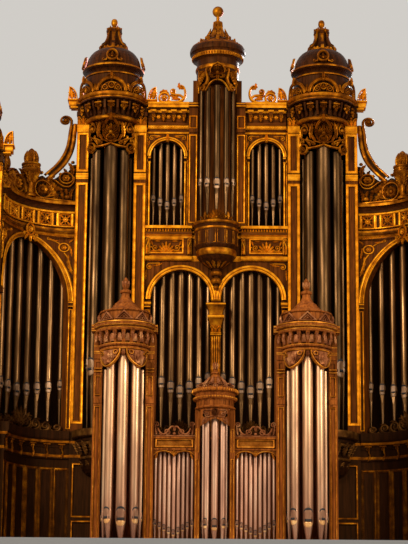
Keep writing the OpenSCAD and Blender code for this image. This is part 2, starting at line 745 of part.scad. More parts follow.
module turret_crown() color(gilt) translate([0, -turret_out, 0]) {
  turned(turret_crown_profile);
  for (i = [0:consoles - 1]) rotate([0, 0, 360 * i / consoles - 90])
    translate([0, 0, crown_base]) console_scroll(390, 430);
}

turret_pipe_step = 32;
turret_sizes = [131, 110, 95];

module turret_pipes() color(tin) translate([0, -turret_out, 0])
  pipe_arc(turret_pipe_r, turret_pipe_step, turret_sizes, turret_foot,
    [shelf_h + 761, shelf_h + 800, shelf_h + 860],
    [turret_head - 220, turret_head - 250, turret_head - 280]);

module turret_shade() color(gilt) translate([0, -turret_out, 0])
  bent_sheet(turret_pipe_r + 85, 15, turret_head - 340, turret_head)
    shade_outline(turret_open - 15, turret_head, turret_head - 210, turret_head - 330, 60);

// Flat fields of the centre

flat_y = panel_back + 95;
lower_pipes = 7;

module lower_flat_pipes() color(tin) both_sides() {
  pitch = 2 * arch_r / (lower_pipes - 0.45);
  for (i = [0:lower_pipes - 1]) {
    k = i - (lower_pipes - 1) / 2;
    off = k * pitch;
    translate([arch_x + off, flat_y, 0]) organ_pipe(150 - 9 * abs(k), base_h,
      base_h + flat_foot_l + 100 * abs(k), lower_spring + sqrt(arch_r * arch_r - off * off) + 60);
  }
}

upper_pipes = 5;

module upper_flat_pipes() color(tin) both_sides() {
  pitch = 2 * upper_arch_r / (upper_pipes - 0.25);
  for (i = [0:upper_pipes - 1]) {
    k = i - (upper_pipes - 1) / 2;
    off = k * pitch;
    translate([upper_x + off, flat_y, 0]) organ_pipe(100 - 3 * abs(k), shelf_h,
      shelf_h + upper_foot_l + 75 * abs(k),
      upper_spring + sqrt(upper_arch_r * upper_arch_r - off * off) + 40);
  }
}

// Wings

wing_spring = base_h + wing_post_h;
wing_wall_top = wing_spring + wing_rise + 127;
wing_h = wing_wall_top + wing_entablature;
wing_arch_r = wing_r * sin(45 - wing_jamb);
wing_volt = 100;
wing_nose = 60;
roundel_r = 120;

// Places children at the centre of the wing's curve, on both sides
module at_wings() both_sides() translate([tower_outer, wing_y, 0]) children();

// Turns children so that their -Y faces the viewer across the wing's chord
module across_wing() rotate([0, 0, -45]) children();

module wing_ring(r0, r1, z0, z1) rotate_extrude(angle = 90, $fn = wing_fn)
  translate([r0, z0]) square([r1 - r0, z1 - z0]);

volt_facets = 20;

// The wing's tall arched opening, or its moulding's outer edge, with a head of straight facets
module wing_arch_outline(out, bottom) polygon(concat([[wing_arch_r + out, bottom]],
  [for (i = [0:volt_facets]) let (a = 180 * i / volt_facets)
    [(wing_arch_r + out) * cos(a), wing_spring + (wing_rise + out) * sin(a)]],
  [[-wing_arch_r - out, bottom]]));

// A solid that runs through the wing wall across its chord
module through_wing() across_wing() rotate([90, 0, 180]) mirror([1, 0, 0])
  linear_extrude(2 * wing_r) children();

module wing_arches() color(main_brown) at_wings() {
  difference() {
    wing_ring(wing_r, wing_r + wing_wall, base_h, wing_wall_top);
    through_wing() wing_arch_outline(0, base_h - 1);
  }
  intersection() {
    wing_ring(wing_r - 30, wing_r + 6, wing_spring - 6, wing_wall_top);
    through_wing() difference() {
      wing_arch_outline(wing_volt, wing_spring - 20);
      wing_arch_outline(0, wing_spring - 21);
    }
  }
  for (start = [0, 90 - wing_jamb + 0.3]) rotate([0, 0, start])
    rotate_extrude(angle = wing_jamb - 0.3, $fn = wing_fn)
      translate([wing_r - 50, wing_spring - 130]) square([56, 120]);
  // roundel over the crown, its rim against the nose of the frieze
  across_wing() translate([0, sqrt(pow(wing_r - wing_nose, 2) - pow(roundel_r, 2)) - 0.2, wing_wall_top + 40])
    rotate([90, 0, 0]) cylinder(r = roundel_r, h = 45);
}

wing_panels = 5;

// Wing entablature, as reach before the wall and height
wing_profile = concat(
  [[-wing_wall, wing_wall_top], [10, wing_wall_top]], cove(15, wing_wall_top + 5, 45, wing_wall_top + 60),
  bead(wing_nose, wing_wall_top + 65, wing_wall_top + 120), [[30, wing_wall_top + 125]],
  [[30, wing_wall_top + 160], [5, wing_wall_top + 165], [5, wing_h - 212]],
  bead(35, wing_h - 210, wing_h - 185), cove(30, wing_h - 180, 120, wing_h - 75),
  [[135, wing_h - 70], [135, wing_h - 20], [125, wing_h], [-wing_wall, wing_h]]);

module wing_friezes() color(main_brown) at_wings() {
  rotate_extrude(angle = 90) polygon([for (p = wing_profile) [wing_r - p[0], p[1]]]);
  // square frames on the frieze with a boss in each
  for (i = [0:wing_panels - 1]) rotate([0, 0, 90 * (i + 0.5) / wing_panels - 90])
    translate([0, wing_r - 4, wing_h - 378]) rotate([90, 0, 0]) {
      linear_extrude(24) difference() {
        square(262, center = true);
        square(214, center = true);
      }
      cylinder(r = 70, h = 30);
    }
}

crest_t = 45;
crest_edge = wing_r * sin(43.6);
crest_top = tower_h + 150;
crest_joint = 395;
crest_sweep = 68;
crest_rx = (crest_edge - 15 - 482) / (1 - cos(crest_sweep));
crest_rz = (crest_top - wing_h - crest_joint) / sin(crest_sweep);
crest_band = 140;
crest_scroll_x = 350;
crest_scroll_r = 190;

// One half of the crest's foot: a great rosette scroll, a leaf and a rosette boss by the tower
module crest_half() {
  translate([crest_scroll_x, crest_scroll_r - 5]) {
    ring_outline(crest_scroll_r, 36);
    circle(118);
    translate([-crest_scroll_r + 5, -16]) square([2 * crest_scroll_r - 10, 32]);
  }
  polygon([[640, 0], [745, 0], [700, 150], [610, 270], [540, 330], [450, crest_joint + 10],
           [430, crest_joint - 40], [520, 250], [590, 150]]);
  translate([815, 300]) ring_outline(132, 34);
  translate([815, 300]) circle(70);
  translate([815 - 120, 285]) square([240, 30]);
  translate([850, 0]) square([60, 200]);
  translate([790, 90]) circle(52);
  translate([770, 0]) square([40, 60]);
}

// Openwork crest over the wing's cornice, with a swept band up to the main tower's capital
module crest_outline() {
  polygon(concat(swoop(-crest_edge + 15, crest_top, crest_rx, crest_rz, crest_sweep),
    reversed(swoop(-crest_edge + 15 + crest_band, crest_top, crest_rx - 60, crest_rz - 95, crest_sweep))));
  translate([-crest_edge + 60, crest_top + 30]) circle(100);
  translate([0, wing_h]) {
    translate([-wing_r * sin(45), 0]) square([2 * wing_r * sin(45), 50]);
    mirror([1, 0]) crest_half();
    crest_half();
    translate([-470, crest_joint]) circle(75);
  }
}

module wing_crests() color(gilt) at_wings() intersection() {
  wing_ring(wing_r, wing_r + crest_t, wing_h, crest_top + 140);
  through_wing() difference() {
    crest_outline();
    translate([-urn_foot_r - 5, wing_h - 1]) square([2 * urn_foot_r + 10, 1200]);
  }
}

urn_r = 205;
urn_foot_r = 120;

// Turned urn like a carved crown, with two bands and a leafy top, over the middle of the wing
urn_profile = concat([[0, wing_h], [urn_foot_r, wing_h], [urn_foot_r, wing_h + 40], [70, wing_h + 80]],
  [[60, wing_h + 330]], cove(70, wing_h + 340, 170, wing_h + 430), bead(urn_r, wing_h + 438, wing_h + 490),
  [[180, wing_h + 495], [175, wing_h + 545]], bead(urn_r - 5, wing_h + 550, wing_h + 600),
  [for (i = [0:8]) let (a = -40 + 130 * i / 8) [165 * cos(a), wing_h + 800 + 243 * sin(a)]]);

module wing_urns() color(gilt) at_wings() across_wing()
  translate([0, wing_r - 80, 0]) turned(urn_profile);

wing_pipe_r = wing_r + wing_wall + 105;
wing_pipe_step = 9;
wing_half_count = 4;

module wing_pipes() color(tin) at_wings()
  for (i = [-wing_half_count:wing_half_count]) {
    angle = i * wing_pipe_step;
    off = max(0, wing_r * sin(abs(angle)) - wing_pipe_d / 2) / wing_arch_r;
    across_wing() rotate([0, 0, angle]) translate([0, wing_pipe_r, 0])
      organ_pipe(wing_pipe_d - 10 * abs(i), base_h, base_h + wing_foot_l + 46 * abs(i),
        wing_spring + wing_rise * sqrt(1 - off * off) + 90);
  }

// Openwork crests before the pipe feet

foot_crest_h = 500;

module foot_crest_outline(half, h) {
  translate([-half, 0]) square([2 * half, 45]);
  for (side = [-1, 1], i = [0:3]) {
    r = h * (0.32 - 0.05 * i);
    translate([side * half * (0.14 + 0.235 * i), r + 20]) {
      ring_outline(r, r * 0.3);
      circle(r * 0.34);
      translate([-r * 0.9, -r * 0.1]) square([1.8 * r, 0.2 * r]);
    }
  }
  difference() {
    translate([0, h * 0.62]) circle(h * 0.36);
    for (side = [-1, 1]) translate([side * h * 0.17, h * 0.66]) circle(h * 0.1);
  }
  translate([-h * 0.1, 0]) square([h * 0.2, h * 0.4]);
}

module foot_carvings() color(gilt) {
  at_wings() intersection() {
    wing_ring(wing_r + 25, wing_r + 55, base_h, base_h + foot_crest_h + 20);
    across_wing() rotate([90, 0, 180]) translate([0, base_h]) linear_extrude(2 * wing_r)
      foot_crest_outline(wing_arch_r - 4, foot_crest_h);
  }
  both_sides() translate([arch_x, 0, base_h]) upright(-20, 10)
    foot_crest_outline(arch_r - 4, 300);
}

// Case behind the fronts

wing_roof_top = wing_h;

module case_back() color(dark_brown) upright(case_depth - board, case_depth)
  polygon([[-outer_x - tower_half, base_h], [outer_x + tower_half, base_h],
           [outer_x + tower_half, outer_top - board], [outer_x - tower_half + board, outer_top - board],
           [outer_x - tower_half + board, wing_roof_top - board], [tower_outer, wing_roof_top - board],
           [tower_outer, cornice_top - board], [-tower_outer, cornice_top - board],
           [-tower_outer, wing_roof_top - board], [-outer_x + tower_half - board, wing_roof_top - board],
           [-outer_x + tower_half - board, outer_top - board], [-outer_x - tower_half, outer_top - board]]);

module case_sides() color(dark_brown) both_sides() {
  translate([tower_outer - board, case_front, wing_roof_top])
    cube([board, case_depth - board - case_front, cornice_top - board - wing_roof_top]);
  translate([outer_x - tower_half + board, wing_y, wing_roof_top])
    cube([board, case_depth - board - wing_y, outer_top - board - wing_roof_top]);
  translate([outer_x + tower_half - board, wing_y, base_h])
    cube([board, case_depth - board - wing_y, outer_top - board - base_h]);
}

module case_roofs() color(dark_brown) {
  translate([-tower_outer, case_front, cornice_top - board])
    cube([2 * tower_outer, case_depth - case_front, board]);
  both_sides() {
    translate([outer_x - tower_half + board, wing_y, outer_top - board])
      cube([2 * tower_half - board, case_depth - wing_y, board]);
    difference() {
      translate([tower_outer - board, wing_y, wing_roof_top - board])
        cube([wing_r + 2 * board, case_depth - wing_y, board]);
      translate([tower_outer, wing_y, 0]) cylinder(r = wing_r + wing_wall, h = wing_roof_top + 1);
      translate([tower_outer - 2 * board, wing_y - 1, 0])
        cube([2 * board, case_front - wing_y + 1, wing_roof_top + 1]);
    }
  }
}

// Front case

module at_front() translate([0, -front_y, 0]) children();

module front_plinth() color(front_brown) at_front() difference() {
  union() {
    translate([-front_outer, -front_pilaster_d / 2, 0])
      cube([2 * front_outer, front_depth + front_pilaster_d / 2, plinth_h]);
    both_sides() translate([front_tower_x, 0, 0]) cylinder(r = front_open + 70, h = plinth_h);
    cylinder(r = front_turret_open + 40, h = plinth_h);
    moulding(-front_outer, front_outer, 0, [[front_pilaster_d / 2 + 30, 0],
      [front_pilaster_d / 2 + 30, 120], [front_pilaster_d / 2, 150]]);
  }
}

front_break = front_tower_h - 869;

module front_pilasters() color(front_brown) at_front() both_sides() for (side = [-1, 1])
  translate([front_tower_x + side * (front_open + front_pilaster_w / 2), 0, 0]) {
    panelled_post(front_pilaster_w, front_pilaster_d, plinth_h, front_tower_h,
      [[plinth_h + 150, front_break - 120], [front_break + 40, front_tower_h - 180]]);
    translate([-front_pilaster_w / 2, -front_pilaster_d / 2 - 15, front_break - 80])
      cube([front_pilaster_w, 20, 90]);
    translate([-front_pilaster_w / 2, -front_pilaster_d / 2 - 18, front_tower_h - 120])
      cube([front_pilaster_w, 22, 120]);
    translate([-front_pilaster_w / 2, -front_pilaster_d / 2 - 15, plinth_h])
      cube([front_pilaster_w, 20, 110]);
  }

front_cornice_r = 600;
front_cornice_h = 523;

// Turned mouldings of a front tower's head
front_head_profile = concat(
  [[0, front_tower_h], [400, front_tower_h]], bead(470, front_tower_h + 5, front_tower_h + 65),
  bead(485, front_tower_h + 75, front_tower_h + 131), [[430, front_tower_h + 135]],
  [[430, front_tower_h + 346], [545, front_tower_h + 350]],
  bead(560, front_tower_h + 350, front_tower_h + 390),
  cove(540, front_tower_h + 395, 575, front_tower_h + 430),
  bead(front_cornice_r, front_tower_h + 432, front_tower_h + front_cornice_h - 25),
  [[front_cornice_r - 10, front_tower_h + front_cornice_h - 22],
   [front_cornice_r - 10, front_tower_h + front_cornice_h], [0, front_tower_h + front_cornice_h]]);

front_modillions = 9;

module front_tower_cornices() color(front_brown) at_front() both_sides()
  translate([front_tower_x, 0, 0]) difference() {
    union() {
      turned(front_head_profile);
      for (i = [0:front_modillions - 1]) rotate([0, 0, -72 + 144 * i / (front_modillions - 1)])
        translate([-35, 0, 0]) rotate([90, 0, 90]) linear_extrude(70)
          polygon([[-400, front_tower_h + 131], [-455, front_tower_h + 131], [-470, front_tower_h + 210],
                   [-535, front_tower_h + 300], [-545, front_tower_h + 351], [-400, front_tower_h + 351]]);
      for (side = [-1, 1]) {
        translate([side * (front_open + front_pilaster_w / 2) - front_pilaster_w / 2,
                   -front_pilaster_d / 2, front_tower_h])
          cube([front_pilaster_w, front_pilaster_d, front_cornice_h - 1]);
        translate([side * (front_open + front_pilaster_w / 2) - front_pilaster_w / 2 - 50,
                   -front_pilaster_d / 2 - 50, front_tower_h + 395])
          cube([front_pilaster_w + 100, front_pilaster_d + 50, front_cornice_h - 396]);
      }
    }
    translate([-2 * front_half, front_pilaster_d / 2, 0])
      cube([4 * front_half, front_cornice_r, 2 * front_tower_h]);
  }

front_cornice_top = front_tower_h + front_cornice_h;
gables = 10;

// Ogee roof of a front tower, from its zigzag band to the knob
front_roof_profile = concat(
  [[0, front_cornice_top], [505, front_cornice_top], [505, front_cornice_top + 40],
   [470, front_cornice_top + 45]],
  [[470, front_cornice_top + 240]], bead(500, front_cornice_top + 245, front_cornice_top + 275),
  [[470, front_cornice_top + 280]],
  [for (i = [0:10]) let (a = 180 * i / 10)
    [275 + 195 * cos(a), front_cornice_top + 290 + 363 * i / 10 + 40 * sin(2 * a)]],
  [[78, front_cornice_top + 690]], bead(134, front_cornice_top + 700, front_cornice_top + 760),
  [[60, front_cornice_top + 765], [50, front_cornice_top + 810]],
  [for (i = [0:7]) let (a = -60 + 150 * i / 7) [68 * cos(a), front_cornice_top + 900 + 91 * sin(a)]]);

module front_tower_roofs() color(front_brown) at_front() both_sides()
  translate([front_tower_x, 0, 0]) {
    turned(front_roof_profile);
    for (i = [0:gables - 1]) rotate([0, 0, 360 * i / gables])
      translate([0, -465, front_cornice_top + 40]) rotate([90, 0, 0]) linear_extrude(36) difference() {
        polygon([[-140, 0], [140, 0], [0, 185]]);
        polygon([[-78, 22], [78, 22], [0, 125]]);
      }
  }

front_pipe_r = 331;
front_pipe_step = 43.1;

module front_tower_pipes() color(tin) at_front() both_sides() translate([front_tower_x, 0, 0])
  pipe_arc(front_pipe_r, front_pipe_step, [front_pipe_d, front_pipe_d - 26, front_pipe_d - 67],
    plinth_h, [for (longer = [0, 43, 73]) plinth_h + front_foot_l + longer],
    [for (shorter = [109, 229, 319]) front_tower_h - shorter]);

module front_tower_shades() color(front_brown) at_front() both_sides()
  translate([front_tower_x, 0, 0]) bent_sheet(450, 20, front_tower_h - 330, front_tower_h)
    difference() {
      union() {
        translate([-front_open + 10, front_tower_h - 110]) square([2 * front_open - 20, 110]);
        for (side = [-1, 1]) {
          translate([side * 240, front_tower_h - 165]) circle(150);
          translate([side * 130, front_tower_h - 70]) circle(75);
        }
      }
      for (side = [-1, 1]) {
        translate([side * 330, front_tower_h - 150]) circle(28);
        translate([side * 140, front_tower_h - 175]) circle(26);
      }
    }

front_turret_r = 205;
front_turret_step = 44.2;
front_turret_sizes = [125, 107, 95];

module front_turret_posts() color(front_brown) at_front() both_sides()
  translate([front_turret_open + front_post_w / 2, 0, 0])
    difference() {
      translate([-front_post_w / 2, -front_pilaster_d / 2, plinth_h])
        cube([front_post_w, front_pilaster_d, front_turret_h - plinth_h]);
      translate([-front_post_w / 2 + 22, -front_pilaster_d / 2 - 1, plinth_h + 100])
        cube([front_post_w - 44, 9, front_arch_h - plinth_h - 250]);
    }

// Turned head of the front turret with its carved frieze
front_turret_profile = concat(
  [[0, front_turret_h], [330, front_turret_h]], bead(375, front_turret_h + 5, front_turret_h + 55),
  [[345, front_turret_h + 60], [345, front_turret_h + 160]],
  bead(400, front_turret_h + 170, front_turret_h + 245),
  cove(365, front_turret_h + 250, 395, front_turret_h + 300),
  bead(425, front_turret_h + 305, front_turret_h + 385), [[0, front_turret_h + 385]]);

module front_turret_head() color(front_brown) at_front() {
  difference() {
    turned(front_turret_profile);
    for (i = [-5:5]) rotate([0, 0, 15 * i]) translate([-25, -370, front_turret_h + 72])
      cube([50, 36, 76]);
  }
  // carved apron before the pipe tops
  bent_sheet(330, 18, front_turret_h - 330, front_turret_h) difference() {
    polygon([[-270, front_turret_h], [270, front_turret_h], [270, front_turret_h - 320],
             [200, front_turret_h - 290], [70, front_turret_h - 215], [0, front_turret_h - 200],
             [-70, front_turret_h - 215], [-200, front_turret_h - 290], [-270, front_turret_h - 320]]);
    for (side = [-1, 1]) translate([side * 190, front_turret_h - 120]) circle(40);
  }
}

front_turret_top = front_turret_h + 385;

module front_turret_roof() color(front_brown) at_front() {
  turned(concat([[0, front_turret_top], [330, front_turret_top], [330, front_turret_top + 30]],
    [for (i = [0:8]) let (t = i / 8) [290 - 225 * pow(t, 0.6), front_turret_top + 40 + 250 * t]],
    bead(82, front_turret_top + 295, front_turret_top + 335),
    [[48, front_turret_top + 340], [40, front_turret_top + 380]],
    [for (i = [0:6]) let (a = -60 + 150 * i / 6) [52 * cos(a), front_turret_top + 455 + 79 * sin(a)]]));
  for (i = [-2:2]) rotate([0, 0, 36 * i]) translate([0, -300, front_turret_top + 25])
    rotate([90, 0, 0]) cylinder(r = 45, h = 30, center = true);
}

module front_turret_pipes() color(tin) at_front()
  pipe_arc(front_turret_r, front_turret_step, front_turret_sizes, plinth_h,
    [for (longer = [0, 36, 66]) plinth_h + front_foot_l - 93 + longer],
    [for (shorter = [180, 200, 240]) front_turret_h - shorter]);

front_flat_x = (front_post_outer + front_inner) / 2;
front_flat_half = (front_inner - front_post_outer) / 2;
front_arch_r = front_flat_half / 2;
front_case_top = front_arch_h + 248;

// Double arched heads of the front flats with the framed panel over them
module front_flat_heads() color(front_brown) at_front() both_sides()
  translate([front_flat_x, 0, 0]) {
    difference() {
      translate([-front_flat_half, -40, front_arch_h - 200])
        cube([2 * front_flat_half, 80, front_case_top + 200 - front_arch_h]);
      upright(-200, 200) for (side = [-1, 1])
        translate([side * front_arch_r, 0]) intersection() {
          translate([-front_arch_r + 4, front_arch_h - 201]) square([2 * front_arch_r - 8, 400]);
          translate([0, front_arch_h - front_arch_r - 60]) circle(front_arch_r + 60);
        }
      translate([-front_flat_half + 60, -52, front_case_top - 150])
        cube([2 * front_flat_half - 120, 24, 120]);
    }
    moulding(-front_flat_half, front_flat_half, -39,
      [for (p = [[40, -20], [75, -10], [75, 20], [40, 30]]) [p[0], front_case_top + p[1]]]);
    moulding(-front_flat_half, front_flat_half, -39,
      [for (p = [[40, 23], [60, 28], [60, 58], [40, 63]]) [p[0], front_arch_h + p[1]]]);
  }

front_flat_count = 9;

module front_flat_pipes() color(tin) at_front() both_sides() {
  pitch = 2 * front_flat_half / (front_flat_count - 0.1);
  for (i = [0:front_flat_count - 1]) {
    k = i - (front_flat_count - 1) / 2;
    translate([front_flat_x + k * pitch, 40 + 45, 0])
      organ_pipe(70, plinth_h, plinth_h + 0.55 * front_foot_l + 45 * abs(k), front_arch_h + 20);
  }
}

crest_z = front_case_top + 30;

// Waved crest board over a front flat with a scroll against the turret
module front_crests() color(front_brown) at_front() both_sides()
  translate([front_flat_x, 0, crest_z]) upright(-30, 20) difference() {
    union() {
      translate([-front_flat_half, 0]) square([2 * front_flat_half, 45]);
      for (side = [-1, 1]) {
        translate([side * (front_flat_half - 55), 220]) circle(60);
        translate([side * (front_flat_half - 35) - 30, 0]) square([60, 230]);
        translate([side * 120, 60]) circle(70);
      }
      translate([0, 110]) circle(80);
    }
    for (side = [-1, 1]) translate([side * 120, 60]) circle(26);
  }

front_board = 40;

module front_case_boards() color(front_brown) at_front() {
  top = front_case_top;
  translate([-front_outer, front_depth - front_board, plinth_h])
    cube([2 * front_outer, front_board, top - plinth_h]);
  both_sides() {
    translate([front_outer - front_board, front_pilaster_d / 2, plinth_h])
      cube([front_board, front_depth - front_board - front_pilaster_d / 2, top - plinth_h]);
    translate([front_inner, front_pilaster_d / 2, top]) difference() {
      cube([2 * front_half, front_depth - front_pilaster_d / 2, front_cornice_top - top]);
      translate([front_board, -1, -1])
        cube([2 * front_half - 2 * front_board, front_depth - front_pilaster_d / 2 - front_board + 1,
              front_cornice_top - top - front_board + 1]);
    }
  }
  translate([-front_inner, 40, top]) cube([2 * front_inner, front_depth - 40, front_board]);
}

centre_base();
wing_bases();
outer_tower_bases();
tower_corbels();
tower_pilasters();
tower_cornices();
tower_galleries();
tower_crowns();
tower_pipes();
tower_shades();
lower_arcade();
middle_rail();
upper_arcade();
top_cornice();
top_scrolls();
turret_corbel();
turret_posts();
turret_cornice();
turret_crown();
turret_pipes();
turret_shade();
lower_flat_pipes();
upper_flat_pipes();
wing_arches();
wing_friezes();
wing_crests();
wing_urns();
wing_pipes();
foot_carvings();
case_back();
case_sides();
case_roofs();
front_plinth();
front_pilasters();
front_tower_cornices();
front_tower_roofs();
front_tower_pipes();
front_tower_shades();
front_turret_posts();
front_turret_head();
front_turret_roof();
front_turret_pipes();
front_flat_heads();
front_flat_pipes();
front_crests();
front_case_boards();
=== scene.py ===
"""Finish and carving of a pipe organ: gilded mouldings, carved shades, crests and capitals,
turned heads, waxed boards and metal pipes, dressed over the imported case. All sizes in metres."""
import math

import bpy
import numpy as np
from mathutils import Matrix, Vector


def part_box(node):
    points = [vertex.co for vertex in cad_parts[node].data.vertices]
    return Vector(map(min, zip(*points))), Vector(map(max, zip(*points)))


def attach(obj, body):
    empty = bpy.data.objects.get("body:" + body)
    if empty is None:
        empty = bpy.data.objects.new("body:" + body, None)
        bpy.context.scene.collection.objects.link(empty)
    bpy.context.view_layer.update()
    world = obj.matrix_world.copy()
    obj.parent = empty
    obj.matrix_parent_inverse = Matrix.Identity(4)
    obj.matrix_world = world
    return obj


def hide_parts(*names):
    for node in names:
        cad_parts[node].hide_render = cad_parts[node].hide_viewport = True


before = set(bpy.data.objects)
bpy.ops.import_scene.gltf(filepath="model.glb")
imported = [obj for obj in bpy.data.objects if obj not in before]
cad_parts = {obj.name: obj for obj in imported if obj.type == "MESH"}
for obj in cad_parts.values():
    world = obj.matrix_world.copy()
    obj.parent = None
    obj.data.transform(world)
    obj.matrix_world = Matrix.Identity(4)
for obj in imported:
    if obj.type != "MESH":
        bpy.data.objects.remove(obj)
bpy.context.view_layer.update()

# Places and sizes of the case, read from the frame
tower_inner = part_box("lower_arcade")[1].x
tower_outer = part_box("centre_base")[1].x
tower_x = (tower_inner + tower_outer) / 2
tower_half = (tower_outer - tower_inner) / 2
pilaster_w = 0.25
pilaster_x = tower_half - pilaster_w / 2
pilaster_face = -0.15
base_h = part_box("centre_base")[1].z
rail_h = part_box("lower_arcade")[1].z
shelf_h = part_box("middle_rail")[1].z
board_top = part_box("upper_arcade")[1].z
top_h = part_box("top_cornice")[1].z
cornice_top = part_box("tower_cornices")[1].z
tower_h = cornice_top - 0.575
turret_y = -0.15
turret_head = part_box("turret_cornice")[0].z
turret_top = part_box("turret_cornice")[1].z
outer_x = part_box("outer_tower_bases")[1].x - tower_half
outer_drop = 1.48
wing_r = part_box("wing_bases")[1].x - tower_outer
wing_y = 0.02 - wing_r
outer_y = wing_y - 0.15
wing_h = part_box("wing_friezes")[1].z
wing_spring = base_h + 2.732
wing_wall_top = wing_h - 0.727
arch_x = 0.72
arch_r = 0.62
archivolt_w = 0.107
lower_spring = base_h + 2.77
corbel_clear = 0.505
post_outer = 0.59
upper_x = (post_outer + tower_inner) / 2
upper_arch_r = 0.351
upper_spring = shelf_h + 1.511
front_y = -3.6
front_tower_x = 1.69
front_inner = 1.128
front_post_outer = 0.367
front_tower_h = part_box("front_pilasters")[1].z
front_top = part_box("front_tower_cornices")[1].z
front_turret_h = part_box("front_turret_posts")[1].z
front_arch_h = 2.192

# Places that a carving repeats at: side of the case, then how far it moves
ONE = [(1, 0, 0, 0)]
PAIR = [(s, 0, 0, 0) for s in (1, -1)]
MAIN_TOWERS = [(s, tower_x, 0, 0) for s in (1, -1)]
ALL_TOWERS = MAIN_TOWERS + [(s, outer_x, outer_y, -outer_drop) for s in (1, -1)]
OUTER_FEET = [(s, outer_x, outer_y, 0) for s in (1, -1)]
FRONT_TOWERS = [(s, front_tower_x, front_y, 0) for s in (1, -1)]


# Finishes

def rgba(code):
    """Turns an sRGB hex colour into the linear colour that a shader reads."""
    channels = [int(code[i:i + 2], 16) / 255 for i in (1, 3, 5)]
    return [c / 12.92 if c <= 0.04045 else ((c + 0.055) / 1.055) ** 2.4 for c in channels] + [1.0]


def add(tree, kind, inputs=None, **settings):
    """Adds a node; each input is a value or another node's output socket."""
    node = tree.nodes.new(kind)
    for name, value in settings.items():
        setattr(node, name, value)
    for key, value in (inputs or {}).items():
        if isinstance(value, bpy.types.NodeSocket):
            tree.links.new(value, node.inputs[key])
        else:
            node.inputs[key].default_value = value
    return node


def ramp(tree, factor, stops, mode="LINEAR"):
    """Colours or grey steps along a factor, as (position, hex colour or grey)."""
    node = add(tree, "ShaderNodeValToRGB", {"Fac": factor})
    node.color_ramp.interpolation = mode
    marks = node.color_ramp.elements
    while len(marks) < len(stops):
        marks.new(0.5)
    for mark, (place, tone) in zip(marks, stops):
        mark.position = place
        mark.color = rgba(tone) if isinstance(tone, str) else (tone, tone, tone, 1)
    return node.outputs["Color"]


def new_finish(name):
    """A new material with its tree and its surface shader."""
    material = bpy.data.materials.new(name)
    material.use_nodes = True
    return material, material.node_tree, material.node_tree.nodes["Principled BSDF"]


def mix(tree, factor, first, second, blend="MIX"):
    """Mixes two colours, each a socket or a hex colour."""
    sockets = {0: factor}
    for key, value in ((6, first), (7, second)):
        sockets[key] = rgba(value) if isinstance(value, str) else value
    return add(tree, "ShaderNodeMix", sockets, data_type="RGBA", blend_type=blend).outputs[2]


def per_metre(mm):
    """Scale of a pattern whose marks are so many millimetres wide."""
    return 1000 / mm


def wood_colour(tree, dark, light, grain_mm, along="Z"):
    """Long streaks of grain with pores, in the light and dark tones of a waxed board, with painted
    shade blackening its corners."""
    place = add(tree, "ShaderNodeTexCoord").outputs["Object"]
    stretch = {"Z": (1, 1, 0.06), "X": (0.06, 1, 1)}[along]
    lines = add(tree, "ShaderNodeMapping", {"Vector": place, "Scale": stretch}).outputs["Vector"]
    bands = add(tree, "ShaderNodeTexNoise", {"Vector": lines, "Scale": per_metre(4 * grain_mm),
                                             "Detail": 5.0, "Distortion": 0.6})
    pores = add(tree, "ShaderNodeTexNoise", {"Vector": lines, "Scale": per_metre(grain_mm), "Detail": 3.0})
    cloud = add(tree, "ShaderNodeTexNoise", {"Vector": place, "Scale": per_metre(WOOD_CLOUD),
                                             "Detail": 3.0})
    colour = ramp(tree, bands.outputs[0], [(0.32, dark), (0.7, light)])
    shade = ramp(tree, pores.outputs[0], [(0.36, 0.55), (0.52, 1.0)])
    wear = ramp(tree, cloud.outputs[0], [(0.3, 0.72), (0.7, 1.12)])
    # painted shade: the wood is blackened in its corners and recesses
    corner = ramp(tree, painted_hollow_shade(tree, 0.12), [(0.2, 0.35), (0.85, 1.0)])
    for layer in (shade, wear, corner):
        colour = mix(tree, 1.0, colour, layer, "MULTIPLY")
    return colour, pores.outputs[0]


def painted_hollow_shade(tree, reach):
    """Painted shade: grey that falls to black in corners and hollows."""
    return add(tree, "ShaderNodeAmbientOcclusion", {"Distance": reach}, samples=6).outputs["AO"]


# Sizes of the patterns, in millimetres. Oak's pores, the marks of the carver's tools and the ripple of
# planed sheet are finer than the view can show, so they are drawn as coarse as they need to be
OAK_GRAIN, BOARD_GRAIN, WOOD_CLOUD = 14, 20, 909
GOLD_PATCH, TOOL_MARK = 142.9, 16.67
METAL_CLOUD, METAL_TONE, METAL_RIPPLE = 111.1, 454.5, 25
FLOOR_CLOUD = 2500

BOARD_WIDTH = 0.24
WAX = "#E09A58"
GOLD = ("#A85C0C", "#D8820F", "#F29E22")
# Gold darkened as painted shade, for the heads, crests, turret and bases
SHADED_GOLD = ("#5A2C04", "#8C4A07", "#C07610")
# Gold darkened further as painted shade, for carving low in the case: the tower corbels and the pipe feet
DEEP_SHADE_GOLD = ("#341A08", "#54300F", "#80501E")
RUBBED_GOLD = ("#8C4C10", "#BA6E1C", "#DC9234")
CARVED_OAK = ("#663418", "#90522C", "#B87C48")


def seal(tree, skin, shine, height, strength, depth):
    """A low, warm shine over a fine relief that follows a pattern."""
    skin.inputs["Specular IOR Level"].default_value = shine
    skin.inputs["Specular Tint"].default_value = rgba(WAX)
    bump = add(tree, "ShaderNodeBump", {"Strength": strength, "Distance": depth, "Height": height})
    tree.links.new(bump.outputs[0], skin.inputs["Normal"])


def gold_colour(tree, tones):
    """Gold leaf in patchy tones, with painted shade that darkens it to red brown in the hollows and leaves
    its heights bright.
    """
    place = add(tree, "ShaderNodeTexCoord").outputs["Object"]
    patches = add(tree, "ShaderNodeTexNoise", {"Vector": place, "Scale": per_metre(GOLD_PATCH),
                                               "Detail": 5.0}).outputs[0]
    leafing = ramp(tree, patches, list(zip((0.33, 0.52, 0.72), tones)))
    # painted shade in the hollows of the carving
    hollow = ramp(tree, painted_hollow_shade(tree, 0.03), [(0.1, "#6A5236"), (0.35, "#C0A884"), (0.65, "#FFFFFF")])
    return mix(tree, 1.0, leafing, hollow, "MULTIPLY"), patches


